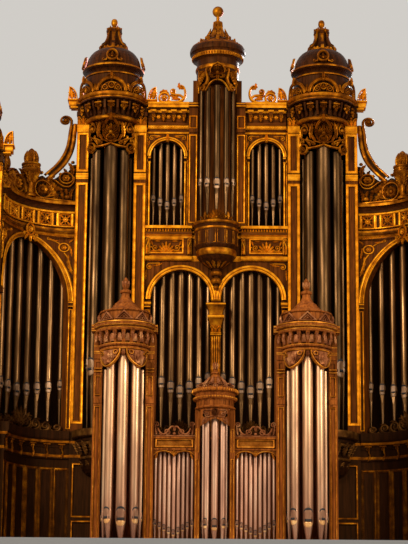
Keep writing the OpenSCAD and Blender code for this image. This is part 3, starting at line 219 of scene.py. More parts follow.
def waxed_wood(name, dark, light, grain_mm=OAK_GRAIN, boards=None):
    """Waxed oak: brown streaked grain with open pores and a soft, low shine; boards names the
    axes across which dark open joints part it into boards."""
    material, tree, skin = new_finish(name)
    colour, pores = wood_colour(tree, dark, light, grain_mm)
    if boards:
        split = add(tree, "ShaderNodeSeparateXYZ", {0: add(tree, "ShaderNodeTexCoord").outputs["Object"]})
        across = add(tree, "ShaderNodeMath", {0: split.outputs[boards[0]], 1: split.outputs[boards[-1]]},
                     operation="ADD").outputs[0]
        wide = BOARD_WIDTH * len(boards) / len(set(boards))
        place = add(tree, "ShaderNodeMath", {0: across, 1: wide}, operation="PINGPONG").outputs[0]
        joint = ramp(tree, add(tree, "ShaderNodeMath", {0: place, 1: wide}, operation="DIVIDE").outputs[0],
                     [(0.0, 0.12), (0.03, 1.0), (0.97, 1.0), (1.0, 0.12)])
        colour = mix(tree, 1.0, colour, joint, "MULTIPLY")
    tree.links.new(colour, skin.inputs["Base Color"])
    skin.inputs["Roughness"].default_value = 0.5
    seal(tree, skin, 0.14, pores, 0.25, 0.002)
    return material


def gold_leaf(name, tones=GOLD, metallic=0.5):
    """Gold leaf on carved wood: a warm yellow metal on the heights, red brown in the hollows by painted
    shade.
    """
    material, tree, skin = new_finish(name)
    colour, patches = gold_colour(tree, tones)
    tree.links.new(colour, skin.inputs["Base Color"])
    skin.inputs["Metallic"].default_value = metallic
    tree.links.new(ramp(tree, patches, [(0.3, 0.5), (0.7, 0.34)]), skin.inputs["Roughness"])
    place = add(tree, "ShaderNodeTexCoord").outputs["Object"]
    tool = add(tree, "ShaderNodeTexNoise", {"Vector": place, "Scale": per_metre(TOOL_MARK),
                                            "Detail": 3.0}).outputs[0]
    seal(tree, skin, 0.2, tool, 0.35, 0.003)
    return material


def case_height(tree):
    """Height of a point as on a main tower: the outer towers are raised to match."""
    split = add(tree, "ShaderNodeSeparateXYZ", {0: add(tree, "ShaderNodeTexCoord").outputs["Object"]})
    across = add(tree, "ShaderNodeMath", {0: split.outputs[0]}, operation="ABSOLUTE").outputs[0]
    outer = add(tree, "ShaderNodeMath", {0: across, 1: outer_x - tower_half - 0.02},
                operation="GREATER_THAN").outputs[0]
    lift = add(tree, "ShaderNodeMath", {0: outer, 1: outer_drop}, operation="MULTIPLY").outputs[0]
    return add(tree, "ShaderNodeMath", {0: split.outputs[2], 1: lift}, operation="ADD").outputs[0]


def gilded_wood(name, dark, light, bands, lifted=False, along="Z", tones=GOLD):
    """Waxed wood whose mouldings are gilded between the pairs of heights in bands."""
    material, tree, skin = new_finish(name)
    wood, pores = wood_colour(tree, dark, light, OAK_GRAIN, along)
    leafing = gold_colour(tree, tones)[0]
    if lifted:
        height = case_height(tree)
    else:
        height = add(tree, "ShaderNodeSeparateXYZ",
                     {0: add(tree, "ShaderNodeTexCoord").outputs["Object"]}).outputs[2]
    low, high = bands[0][0] - 0.01, bands[-1][1] + 0.01
    share = add(tree, "ShaderNodeMapRange", {"Value": height, "From Min": low, "From Max": high}).outputs[0]
    stops = [(0.0, 0.0)]
    for start, end in bands:
        stops += [((start - low) / (high - low), 1.0), ((end - low) / (high - low), 0.0)]
    gilt = ramp(tree, share, stops, "CONSTANT")
    tree.links.new(mix(tree, gilt, wood, leafing), skin.inputs["Base Color"])
    metal = add(tree, "ShaderNodeMath", {0: gilt, 1: 0.5}, operation="MULTIPLY").outputs[0]
    tree.links.new(metal, skin.inputs["Metallic"])
    skin.inputs["Roughness"].default_value = 0.45
    seal(tree, skin, 0.14, pores, 0.25, 0.002)
    return material


def pipe_metal(name, deep, middle, bright, metallic, rough, low_tone=None):
    """Planed tin and lead sheet: a soft grey brown shine, cloudy along the pipe, with painted shade
    darkening it in the gaps; low_tone makes a front pipe greyer and darker towards its foot."""
    material, tree, skin = new_finish(name)
    place = add(tree, "ShaderNodeTexCoord").outputs["Object"]
    drawn = add(tree, "ShaderNodeMapping", {"Vector": place, "Scale": (1, 1, 0.12)}).outputs["Vector"]
    cloud = add(tree, "ShaderNodeTexNoise", {"Vector": drawn, "Scale": per_metre(METAL_CLOUD),
                                             "Detail": 6.0}).outputs[0]
    each = add(tree, "ShaderNodeTexNoise", {"Vector": drawn, "Scale": per_metre(METAL_TONE),
                                            "Detail": 2.0}).outputs[0]
    colour = ramp(tree, cloud, [(0.3, deep), (0.52, middle), (0.72, bright)])
    tone = ramp(tree, each, [(0.35, 0.7), (0.65, 1.1)])
    # painted shade in the gaps between pipes and round their mouths
    gap_shade = ramp(tree, painted_hollow_shade(tree, 0.10), [(0.12, 0.12), (0.6, 1.0)])
    colour = mix(tree, 1.0, mix(tree, 1.0, colour, tone, "MULTIPLY"), gap_shade, "MULTIPLY")
    if low_tone:
        height = add(tree, "ShaderNodeSeparateXYZ", {0: place}).outputs[2]
        share = add(tree, "ShaderNodeMapRange", {"Value": height, "From Min": 0.4,
                                                 "From Max": front_tower_h}).outputs[0]
        colour = mix(tree, 1.0, colour, ramp(tree, share, [(0.0, low_tone), (0.75, "#FFFFFF")]), "MULTIPLY")
    tree.links.new(colour, skin.inputs["Base Color"])
    skin.inputs["Metallic"].default_value = metallic
    tree.links.new(ramp(tree, cloud, [(0.3, rough + 0.12), (0.7, rough - 0.05)]), skin.inputs["Roughness"])
    fine = add(tree, "ShaderNodeTexNoise", {"Vector": drawn, "Scale": per_metre(METAL_RIPPLE),
                                            "Detail": 3.0}).outputs[0]
    bump = add(tree, "ShaderNodeBump", {"Strength": 0.12, "Distance": 0.002, "Height": fine})
    tree.links.new(bump.outputs[0], skin.inputs["Normal"])
    return material


DARK_OAK = ("#1C0C04", "#341807")
# Oak of the heads, turret and wing friezes, darkened as painted shade
SHADED_HEAD_OAK = ("#2A1205", "#4E240A")
CASE_OAK = ("#3E1A06", "#70360B")
FRONT_OAK = ("#6A300E", "#AA5A1E")

# Gold leaf on carved wood: bright on the fronts, darkened on the heads and the crests and darker still low in
# the case, as painted shade
gold = gold_leaf("gold_leaf_on_carved_wood")
shaded_gold = gold_leaf("gold_leaf_darkened_with_painted_shade", SHADED_GOLD)
deep_shade_carving = gold_leaf("carved_oak_with_gold_darkened_as_painted_shade", DEEP_SHADE_GOLD, 0.2)
# Old waxed oak: nearly black below, and behind as painted shade of the case's dark inside; brown on
# the front and redder on the front case
base_oak = gilded_wood("dark_waxed_oak_with_gilt_base_lines", *DARK_OAK,
                       [(base_h - 0.53, base_h - 0.475), (base_h - 0.25, base_h - 0.195)], tones=SHADED_GOLD)
case_oak = waxed_wood("waxed_oak_case", *CASE_OAK)
# painted shade: a near-black sheet seen through the crest's openwork
crest_shade_sheet = waxed_wood("dark_sheet_of_painted_shade_behind_leaf_scrolls", "#1C0C04", "#371A08")
# the case's boards darkened as painted shade of its inside
board_oak = waxed_wood("oak_boards_darkened_as_painted_shade_of_the_inside", "#1E0D05", "#3C1D0A", grain_mm=BOARD_GRAIN, boards=(0, 1))
roof_oak = waxed_wood("oak_roof_boards_darkened_as_painted_shade_of_the_inside", "#1E0D05", "#3C1D0A", grain_mm=BOARD_GRAIN, boards=(0, 0))
front_oak = waxed_wood("reddish_waxed_oak", *FRONT_OAK)
# Planed tin and lead: a brown grey sheen in the deep fronts, pale and rosy on the front case. A front
# pipe greys towards its foot, the tower pipes are darkened as painted shade, a lip is lightened as a
# painted highlight, and the slit of a mouth and the arch over its flat are painted shadow
main_tin = pipe_metal("planed_tin_lead_pipes", "#4A2F18", "#74502C", "#9C7044", 1.0, 0.38)
# Tower and turret pipes: the same tin, darkened as painted shade
shaded_tower_tin = pipe_metal("planed_tin_tower_pipes_darkened_as_painted_shade", "#301E0F", "#50361C", "#765230", 1.0, 0.4)
# a lip lightened as a painted highlight
lip_highlight_tin = pipe_metal("pipe_lips_lightened_as_painted_highlight", "#70492A", "#9A6E44", "#C8986A", 0.35, 0.45)
front_tin = pipe_metal("bright_tin_front_pipes", "#A07450", "#D49E6C", "#F8CC92", 0.85, 0.34,
                       low_tone="#AC98A8")
small_front_tin = pipe_metal("bright_tin_small_front_pipes", "#B48464", "#E2AC84", "#FCD6AA", 0.85, 0.38,
                             low_tone="#C8B4B0")
front_lip_highlight_tin = pipe_metal("front_pipe_lips_lightened_as_painted_highlight", "#B0743C", "#DC9C58", "#F6C684", 0.5, 0.4)
shadow_tin = pipe_metal("painted_shadow_of_a_pipe_mouth", "#120B06", "#1E140C", "#2C1E12", 0.0, 0.8)
# Lines and leaves of the front case: gold worn thin, so that the red wood shows through
front_gilt = gold_leaf("rubbed_gold_lines_on_red_oak", RUBBED_GOLD, 0.5)
front_carved = gold_leaf("carved_red_oak_touched_with_gold", CARVED_OAK, 0.2)


def heights(start, *spans):
    """Pairs of heights over a start, in millimetres."""
    return [(start + low / 1000, start + high / 1000) for low, high in spans]


# Turned and moulded oak with gold leaf on the mouldings between the given heights. On the heads, the
# turret and the wing friezes both oak and gold are darkened as painted shade
head_oak = gilded_wood("turned_tower_heads_parcel_gilt", *SHADED_HEAD_OAK, heights(
    tower_h, (30, 128), (470, 576)), lifted=True, tones=SHADED_GOLD)
crown_oak = gilded_wood("turned_crowns_parcel_gilt", *SHADED_HEAD_OAK, heights(
    cornice_top, (462, 512), (625, 678), (1112, 1150), (1595, 1900)), lifted=True, tones=SHADED_GOLD)
# The corbels' near-black oak and dim gold are painted shade under the towers
corbel_oak = gilded_wood("tower_corbels_parcel_gilt", *DARK_OAK, heights(
    base_h, (-1112, -1095), (-992, -928), (-592, -525), (-322, -248), (-136, 2)), tones=DEEP_SHADE_GOLD)
pilaster_oak = gilded_wood("pilasters_with_gilt_bands", *CASE_OAK, heights(
    tower_h, (-1172, -1042), (-146, 2)), lifted=True)
rail_oak = gilded_wood("middle_rail_parcel_gilt", *CASE_OAK, heights(
    rail_h, (0, 112), (488, 552), (610, 640), (672, 738)), along="X")
top_oak = gilded_wood("top_entablature_parcel_gilt", *CASE_OAK, heights(
    board_top, (0, 48), (98, 188), (456, 500), (545, 658)), along="X")
turret_oak = gilded_wood("turret_corbel_parcel_gilt", *SHADED_HEAD_OAK, heights(
    shelf_h, (-1360, -1285), (-1236, -1120), (-1068, -985), (-690, -560), (-160, -112), (-38, 30)),
    tones=SHADED_GOLD)
turret_head_oak = gilded_wood("turret_head_parcel_gilt", *SHADED_HEAD_OAK, heights(
    turret_head, (175, 262), (435, 515), (700, 765)), tones=SHADED_GOLD)
turret_crown_oak = gilded_wood("turret_crown_parcel_gilt", *SHADED_HEAD_OAK, heights(
    turret_top, (120, 190), (520, 585), (700, 1060)), tones=SHADED_GOLD)
wing_oak = gilded_wood("wing_frieze_parcel_gilt", *SHADED_HEAD_OAK, heights(
    wing_wall_top, (0, 78), (98, 165), (500, 530), (655, 728)), along="X", tones=SHADED_GOLD)
front_head_oak = gilded_wood("front_tower_heads_touched_with_gold", *FRONT_OAK, heights(
    front_tower_h, (5, 30), (112, 131), (395, 412), (432, 450), (490, 515)), tones=RUBBED_GOLD)

finishes = {
    base_oak: ["centre_base", "wing_bases", "outer_tower_bases"],
    corbel_oak: ["tower_corbels"],
    pilaster_oak: ["tower_pilasters"],
    head_oak: ["tower_cornices"],
    crown_oak: ["tower_crowns"],
    case_oak: ["lower_arcade", "upper_arcade", "turret_posts", "wing_arches"],
    rail_oak: ["middle_rail"],
    top_oak: ["top_cornice"],
    turret_oak: ["turret_corbel"],
    turret_head_oak: ["turret_cornice"],
    turret_crown_oak: ["turret_crown"],
    wing_oak: ["wing_friezes"],
    board_oak: ["case_back", "case_sides"],
    roof_oak: ["case_roofs"],
    main_tin: ["lower_flat_pipes", "upper_flat_pipes", "wing_pipes"],
    shaded_tower_tin: ["tower_pipes", "turret_pipes"],
    front_tin: ["front_tower_pipes"],
    small_front_tin: ["front_turret_pipes", "front_flat_pipes"],
    front_head_oak: ["front_tower_cornices"],
    front_oak: ["front_plinth", "front_pilasters", "front_tower_roofs", "front_turret_posts",
                "front_turret_head", "front_turret_roof", "front_flat_heads", "front_case_boards"],
    front_carved: ["front_tower_shades", "front_crests"],
    gold: ["top_scrolls"],
    shaded_gold: ["tower_galleries", "tower_shades", "turret_shade", "wing_crests", "wing_urns"],
    deep_shade_carving: ["foot_carvings"],
}
for finish, names in finishes.items():
    for name in names:
        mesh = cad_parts[name].data
        mesh.materials.clear()
        mesh.materials.append(finish)


# Carving tools. A part is (points, faces): u runs to the right, v up and w towards the viewer

ROUND = ((-1, 0), (-0.8, 0.62), (-0.35, 0.95), (0.35, 0.95), (0.8, 0.62), (1, 0))
HOLLOW = ((-1, 0), (-0.96, 0.8), (-0.74, 1), (-0.52, 0.55), (0, 0.32), (0.52, 0.55), (0.74, 1), (0.96, 0.8),
          (1, 0))
STEM = ((-1, 0), (-0.7, 0.75), (0, 1), (0.7, 0.75), (1, 0))


def merge(*parts):
    """Several parts as one."""
    points, faces, start = [], [], 0
    for part_points, part_faces in parts:
        points.append(part_points)
        faces += [tuple(i + start for i in face) for face in part_faces]
        start += len(part_points)
    return np.concatenate(points), faces


def loft(rings, loop=False):
    """Skins a row of closed rings; an open row gets both its ends capped."""
    rings = np.asarray(rings, float)
    count, around = rings.shape[:2]
    faces = []
    for i in range(count if loop else count - 1):
        k = (i + 1) % count
        faces += [(i * around + j, k * around + j, k * around + (j + 1) % around,
                   i * around + (j + 1) % around) for j in range(around)]
    if not loop:
        faces.append(tuple(range(around)))
        faces.append(tuple(reversed(range((count - 1) * around, count * around))))
    return rings.reshape(-1, 3), faces


def smooth(points, steps=6):
    """A curve through points, each span cut into steps."""
    p = np.asarray(points, float)
    p = np.concatenate([[2 * p[0] - p[1]], p, [2 * p[-1] - p[-2]]])
    t = np.linspace(0, 1, steps, endpoint=False)[:, None]
    spans = []
    for a, b, c, d in zip(p, p[1:], p[2:], p[3:]):
        spans.append(0.5 * (2 * b + (c - a) * t + (2 * a - 5 * b + 4 * c - d) * t ** 2
                            + (3 * b - a - 3 * c + d) * t ** 3))
    return np.concatenate(spans + [p[-2:-1]])


def arc(centre, r, start, end, steps=16, tall=1.0):
    """Points of an arc between two angles in degrees; tall stretches it upwards."""
    a = np.radians(np.linspace(start, end, steps + 1))
    return np.stack([centre[0] + r * np.cos(a), centre[1] + r * tall * np.sin(a)], 1)


def unit(vectors):
    """The same directions, one long."""
    return vectors / np.maximum(np.linalg.norm(vectors, axis=1, keepdims=True), 1e-9)


def band(path, width, height, section=ROUND, loop=False, back=0.006):
    """A carved band along a flat path, mitred at its corners; width and height may vary."""
    path = np.asarray(path, float)
    if loop:
        ahead = unit(np.roll(path, -1, 0) - path)
        behind = np.roll(ahead, 1, 0)
    else:
        ahead = unit(np.diff(path, axis=0))
        ahead, behind = np.concatenate([ahead, ahead[-1:]]), np.concatenate([ahead[:1], ahead])
    along = unit(ahead + behind)
    stretch = 1 / np.maximum((along * ahead).sum(1), 0.5)
    left = np.stack([-along[:, 1], along[:, 0]], 1) * (stretch * width / 2)[:, None]
    height = np.broadcast_to(height, (len(path),))
    profile = [(section[0][0], None), *section, (section[-1][0], None)]
    rings = np.zeros((len(path), len(profile), 3))
    for j, (side, rise) in enumerate(profile):
        rings[:, j, :2] = path + left * side
        rings[:, j, 2] = -back if rise is None else height * rise
    return loft(rings, loop)


def frame_of(x0, x1, z0, z1, width, height, back=0.004):
    """A mitred frame whose outer edge is the given rectangle."""
    h = width / 2
    corners = [(x0 + h, z0 + h), (x1 - h, z0 + h), (x1 - h, z1 - h), (x0 + h, z1 - h)]
    return band(corners, width, height, HOLLOW, loop=True, back=back)


def ring(centre, r, width, height, section=ROUND, tall=1.0, steps=24, back=0.006):
    """A band bent to a ring, or to an oval where it is tall."""
    return band(arc(centre, r, 0, 360, steps, tall)[:-1], width, height, section, loop=True, back=back)


def polar(centre, rows, n, petals=0, back=0.006):
    """A round relief from rows of radius, height and how deep petals cut, from its eye outwards."""
    a = np.linspace(0, 2 * np.pi, n, endpoint=False)
    rings = []
    for r, rise, cut in [*rows, (*rows[-1][:1], None, rows[-1][2])]:
        reach = r * (1 - cut * np.abs(np.sin(petals * a / 2)))
        lift = -back if rise is None else rise * (1 + cut * np.cos(petals * a))
        rings.append(np.stack([centre[0] + reach * np.cos(a), centre[1] + reach * np.sin(a),
                               np.broadcast_to(lift, a.shape)], 1))
    return loft(rings)


def dome(centre, r, height, n=10, back=0.006):
    """A round boss."""
    return polar(centre, [(0.2 * r, height, 0), (0.65 * r, 0.82 * height, 0), (0.93 * r, 0.45 * height, 0),
                          (r, 0, 0)], n, back=back)


def rosette(centre, r, height, petals=6, back=0.006):
    """A flower boss: a domed eye in a sunk ring, and rounded petals round it."""
    h = height
    return polar(centre, [(0.1 * r, h, 0), (0.24 * r, 0.85 * h, 0), (0.32 * r, 0.3 * h, 0),
                          (0.5 * r, 0.55 * h, 0.1), (0.78 * r, 0.8 * h, 0.2), (r, 0.25 * h, 0.22)],
                 4 * petals, petals, back)


def pillow(outline, height, back=0.006):
    """A bulging relief inside a closed outline that runs anticlockwise."""
    path = smooth([*outline, outline[0]], 4)[:-1]
    middle = path.mean(0)
    rows = [(0.12, 0.85 * height), (0.5, height), (0.85, 0.7 * height), (1, 0), (1, -back)]
    return loft([np.column_stack([middle + (path - middle) * share, np.full(len(path), rise)])
                 for share, rise in rows])


def curtain(line, front, back):
    """A level board whose top follows a line of (u, v)."""
    return loft([[(u, 0, front), (u, 0, back), (u, v, back), (u, v, front)] for u, v in line])


def leaf(root, tip, width, height=0.025, bend=0.0, lobes=4, curl=0.0, back=0.006):
    """An acanthus leaf: lobed edges, a sunk midrib and a tip that may turn outwards."""
    root, tip = np.array(root, float), np.array(tip, float)
    t = np.linspace(0, 1, 4 * lobes + 1)
    line = tip - root
    across = np.array([-line[1], line[0]])
    middle = root + t[:, None] * line + (bend * np.sin(np.pi * t))[:, None] * across
    along = unit(np.gradient(middle, axis=0))
    left = np.stack([-along[:, 1], along[:, 0]], 1)
    lobe = 1 - 0.38 * np.abs(np.cos(np.pi * lobes * t))
    half = width / 2 * np.sin(np.pi * (0.06 + 0.92 * t)) ** 0.75 * lobe
    lift = curl * t ** 3
    ridge = height * (0.3 + 0.7 * np.sin(np.pi * (0.1 + 0.85 * t))) + lift
    rows = [(-1, lift), (-0.5, ridge), (0, 0.45 * ridge + 0.55 * lift), (0.5, ridge), (1, lift),
            (0, lift - back)]
    rings = np.zeros((len(t), len(rows), 3))
    for j, (side, rise) in enumerate(rows):
        rings[:, j, :2] = middle + left * (half * side)[:, None]
        rings[:, j, 2] = rise
    return loft(rings)


def palmette(root, r, count, spread, height, back=0.006, slim=1.0, curl=0.02):
    """Leaves that fan out from one root, the middle one longest."""
    parts = []
    for i in range(count):
        share = i / (count - 1) - 0.5
        a = math.radians(90 + spread * share)
        long = r * (1 - 0.45 * abs(share) ** 1.3)
        width = slim * 1.9 * r * math.radians(spread) / (2 * count)
        tip = (root[0] + long * math.cos(a), root[1] + long * math.sin(a))
        parts.append(leaf(root, tip, width, height, bend=0.15 * share, lobes=3, curl=curl, back=back))
    return merge(*parts)


def scroll(lead, centre, r, start, way=1, turns=1.25, width=0.03, height=0.025, eye=0.3, back=0.006):
    """A stem that runs along its lead and winds in to a round eye."""
    t = np.linspace(0, 1, int(16 * turns) + 1)
    a = np.radians(start + way * 360 * turns * t)
    reach = r * (1 - 0.68 * t ** 0.9)
    path = np.stack([centre[0] + reach * np.cos(a), centre[1] + reach * np.sin(a)], 1)
    if len(lead):
        path = np.concatenate([smooth([*lead, path[0]], 5)[:-1], path])
    parts = [band(path, width * np.linspace(1, 0.6, len(path)), height, STEM, back=back)]
    if eye:
        parts.append(dome(centre, eye * r, 1.2 * height, back=back))
    return merge(*parts)


def mirrored(part):
    """The part and its mirror image about u 0."""
    points, faces = part
    return merge(part, (points * (-1, 1, 1), [face[::-1] for face in faces]))


def lathe(profile, n=32, flute=0.0, flutes=0, turn=0.0):
    """A turned solid from radius and height, top first; flutes hollow its side."""
    a = np.linspace(0, 2 * np.pi, n, endpoint=False) + turn
    cut = 1 - flute * np.abs(np.sin(flutes * a / 2))
    return loft([np.stack([r * cut * np.cos(a), r * cut * np.sin(a), np.full(n, z)], 1) for r, z in profile])


def moved(part, x=0.0, y=0.0, z=0.0):
    """The part at another place."""
    return part[0] + (x, y, z), part[1]


# Faces that carvings lie on, each a change of u, v and w into x, y and z

def wrapped(part, r, taper=0.0):
    """Bends a carving round a pipe, whose radius may shrink downwards."""
    p = part[0]
    a = p[:, 0] / r
    reach = r * (1 + taper * p[:, 1]) + p[:, 2]
    return np.stack([reach * np.sin(a), p[:, 1], reach * np.cos(a)], 1), part[1]


def flat(part, y, x=0.0, z=0.0):
    """An upright face."""
    p = part[0]
    return np.stack([x + p[:, 0], y - p[:, 2], z + p[:, 1]], 1), part[1]


def turned(part, r, z=0.0, y=0.0, angle=0.0, lean=0.0):
    """The outside of a round tower; angle turns the carving round it."""
    p = part[0]
    a = p[:, 0] / r + math.radians(angle)
    reach = r + p[:, 2] + lean * p[:, 1]
    return np.stack([reach * np.sin(a), y - reach * np.cos(a), z + p[:, 1]], 1), part[1]


def swung(part, r, z=0.0, y=0.0, angle=0.0, x=0.0):
    """An upright face at a distance from an axis, swung round it."""
    p = part[0]
    a = math.radians(angle)
    reach = r + p[:, 2]
    return np.stack([x + p[:, 0] * math.cos(a) + reach * math.sin(a),
                     y + p[:, 0] * math.sin(a) - reach * math.cos(a), z + p[:, 1]], 1), part[1]


def spoke(part, z=0.0, y=0.0, angle=0.0):
    """The side of a bracket that stands out from an upright axis: u is the reach."""
    p = part[0]
    a = math.radians(angle)
    return np.stack([p[:, 0] * math.sin(a) - p[:, 2] * math.cos(a),
                     y - p[:, 0] * math.cos(a) - p[:, 2] * math.sin(a), z + p[:, 1]], 1), part[1]


def winged(part, z=0.0, out=0.0, chord=True):
    """The hollow face of a wing, u from its middle, along the chord or along the curve."""
    p = part[0]
    swing = np.arcsin(np.clip(p[:, 0] / wing_r, -1, 1)) if chord else p[:, 0] / wing_r
    a = math.pi / 4 - swing
    reach = wing_r - out - p[:, 2]
    return np.stack([tower_outer + reach * np.cos(a), wing_y + reach * np.sin(a), z + p[:, 1]], 1), part[1]


def dress(piece, replaced=()):
    """Fixes a finished piece to the case and hides the parts of the case that it stands for."""
    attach(piece, "root")
    for node in replaced:
        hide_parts(node)
    return piece


CREASE = math.radians(38)


def carve(name, part, finish, places=ONE, replaced=()):
    """Makes one piece of a carving, repeated at its places."""
    points, faces = part
    rows, polygons, start = [], [], 0
    for side, dx, dy, dz in places:
        rows.append((points + (dx, dy, dz)) * (side, 1, 1))
        polygons += [tuple(i + start for i in (face if side > 0 else face[::-1])) for face in faces]
        start += len(points)
    mesh = bpy.data.meshes.new(name)
    mesh.from_pydata(np.concatenate(rows).tolist(), [], polygons)
    mesh.materials.append(finish)
    mesh.shade_smooth()
    mesh.set_sharp_from_angle(angle=CREASE)
    piece = bpy.data.objects.new(name, mesh)
    bpy.context.scene.collection.objects.link(piece)
    return dress(piece, replaced)


# Repeats and mouldings, grown along lines by Geometry Nodes

def new_nodes(name, *inputs):
    """An empty tree with a mesh line coming in, named inputs and a mesh going out."""
    tree = bpy.data.node_groups.new(name, "GeometryNodeTree")
    tree.interface.new_socket("Line", in_out="INPUT", socket_type="NodeSocketGeometry")
    for label, kind in inputs:
        tree.interface.new_socket(label, in_out="INPUT", socket_type="NodeSocket" + kind)
    tree.interface.new_socket("Mesh", in_out="OUTPUT", socket_type="NodeSocketGeometry")
    entry = add(tree, "NodeGroupInput").outputs
    return tree, entry, add(tree, "GeometryNodeMeshToCurve", {"Mesh": entry["Line"]}).outputs[0]


def close_nodes(tree, entry, shape):
    """Ends a tree: the shape is made real and gets its finish."""
    solid = add(tree, "GeometryNodeRealizeInstances", {0: shape}).outputs[0]
    dyed = add(tree, "GeometryNodeSetMaterial", {"Geometry": solid, "Material": entry["Finish"]}).outputs[0]
    add(tree, "NodeGroupOutput", {"Mesh": dyed})
    return tree


def bead_nodes():
    """A round bead swept along each line."""
    tree, entry, line = new_nodes("bead_run", ("Radius", "Float"), ("Sides", "Int"), ("Finish", "Material"))
    circle = add(tree, "GeometryNodeCurvePrimitiveCircle",
                 {"Resolution": entry["Sides"], "Radius": entry["Radius"]}).outputs[0]
    swept = add(tree, "GeometryNodeCurveToMesh", {"Curve": line, "Profile Curve": circle,
                                                  "Fill Caps": True}).outputs[0]
    return close_nodes(tree, entry, add(tree, "GeometryNodeSetShadeSmooth", {0: swept}).outputs[0])


def row_nodes():
    """A small carving set at even steps along each line, facing outwards from it."""
    tree, entry, line = new_nodes("ornament_row", ("Carving", "Object"), ("Spacing", "Float"),
                                  ("Finish", "Material"))
    steps = add(tree, "GeometryNodeResampleCurve", {"Curve": line, "Length": entry["Spacing"]}, mode="LENGTH")
    facing = add(tree, "GeometryNodeInputNamedAttribute", {"Name": "facing"}, data_type="FLOAT_VECTOR")
    turn = add(tree, "FunctionNodeAxesToRotation",
               {0: facing.outputs[0], 1: add(tree, "GeometryNodeInputTangent").outputs[0]},
               primary_axis="Z", secondary_axis="X").outputs[0]
    carving = add(tree, "GeometryNodeObjectInfo", {"Object": entry["Carving"]}).outputs["Geometry"]
    placed = add(tree, "GeometryNodeInstanceOnPoints", {"Points": steps.outputs[0], "Instance": carving,
                                                        "Rotation": turn}).outputs[0]
    return close_nodes(tree, entry, placed)


BEADS, ROWS = bead_nodes(), row_nodes()


def grow(name, nodes, settings, lines, finish, places):
    """Runs a tree on lines of (points, facing) at each place and keeps the mesh it makes."""
    points, facing, edges = [], [], []
    for side, dx, dy, dz in places:
        for line, outward in lines:
            start = sum(map(len, points))
            turn = slice(None, None, side)
            points.append(((line + (dx, dy, dz)) * (side, 1, 1))[turn])
            facing.append((outward * (side, 1, 1))[turn])
            edges += [(start + i, start + i + 1) for i in range(len(line) - 1)]
    wire = bpy.data.meshes.new(name)
    wire.from_pydata(np.concatenate(points).tolist(), edges, [])
    outward_data = wire.attributes.new("facing", "FLOAT_VECTOR", "POINT").data
    outward_data.foreach_set("vector", np.concatenate(facing).ravel())
    piece = bpy.data.objects.new(name, wire)
    bpy.context.scene.collection.objects.link(piece)
    grower = piece.modifiers.new("grow", "NODES")
    grower.node_group = nodes
    for item in nodes.interface.items_tree:
        if item.in_out == "INPUT" and item.name != "Line":
            grower[item.identifier] = {**settings, "Finish": finish}[item.name]
    grown = bpy.data.meshes.new_from_object(piece.evaluated_get(bpy.context.evaluated_depsgraph_get()))
    piece.modifiers.remove(grower)
    piece.data = grown
    bpy.data.meshes.remove(wire)
    grown.name = name
    return dress(piece)


def bead_run(name, lines, radius, finish, places=ONE):
    """Gilt beads along lines."""
    return grow(name, BEADS, {"Radius": radius, "Sides": 8}, lines, finish, places)


def row(name, lines, carving, spacing, finish, places=ONE):
    """One small carving repeated along lines."""
    mesh = bpy.data.meshes.new(name + "_unit")
    mesh.from_pydata(carving[0].tolist(), [], carving[1])
    mesh.shade_smooth()
    mesh.set_sharp_from_angle(angle=CREASE)
    unit_object = bpy.data.objects.new(name + "_unit", mesh)
    bpy.context.scene.collection.objects.link(unit_object)
    # A hair under the spacing, so that rounding never drops the last step
    piece = grow(name, ROWS, {"Carving": unit_object, "Spacing": 0.99 * spacing}, lines, finish, places)
    bpy.data.objects.remove(unit_object)
    bpy.data.meshes.remove(mesh)
    return piece


def across(x0, x1, y, z):
    """A level line on an upright face, from left to right."""
    return np.array([(x0, y, z), (x1, y, z)], float), np.array([(0, -1, 0)] * 2, float)


def upright(x, y, z0, z1):
    """A line up a face."""
    return np.array([(x, y, z0), (x, y, z1)], float), np.array([(0, -1, 0)] * 2, float)


def around(r, z, half_turn, y=0.0):
    """A level line round a tower, half_turn degrees to either side of straight ahead."""
    a = np.radians(np.linspace(-half_turn, half_turn, 61))
    outward = np.stack([np.sin(a), -np.cos(a), np.zeros_like(a)], 1)
    return outward * r + (0.0, y, z), outward


def wing_round(half_length, out, z):
    """A level line on the hollow face of a wing, as long to either side of its middle."""
    a = math.pi / 4 - np.linspace(-half_length, half_length, 41) / wing_r
    outward = -np.stack([np.cos(a), np.sin(a), np.zeros_like(a)], 1)
    return (tower_outer, wing_y, z) - outward * (wing_r - out), outward


# Main towers

shade_r = 0.552
gallery_r = 0.672
lunettes = 6
bracket_ring_r = 0.665
bracket_turn = 24
shoulder_h = cornice_top + 0.85
neck_h = cornice_top + 1.13
tip_h = cornice_top + 1.56


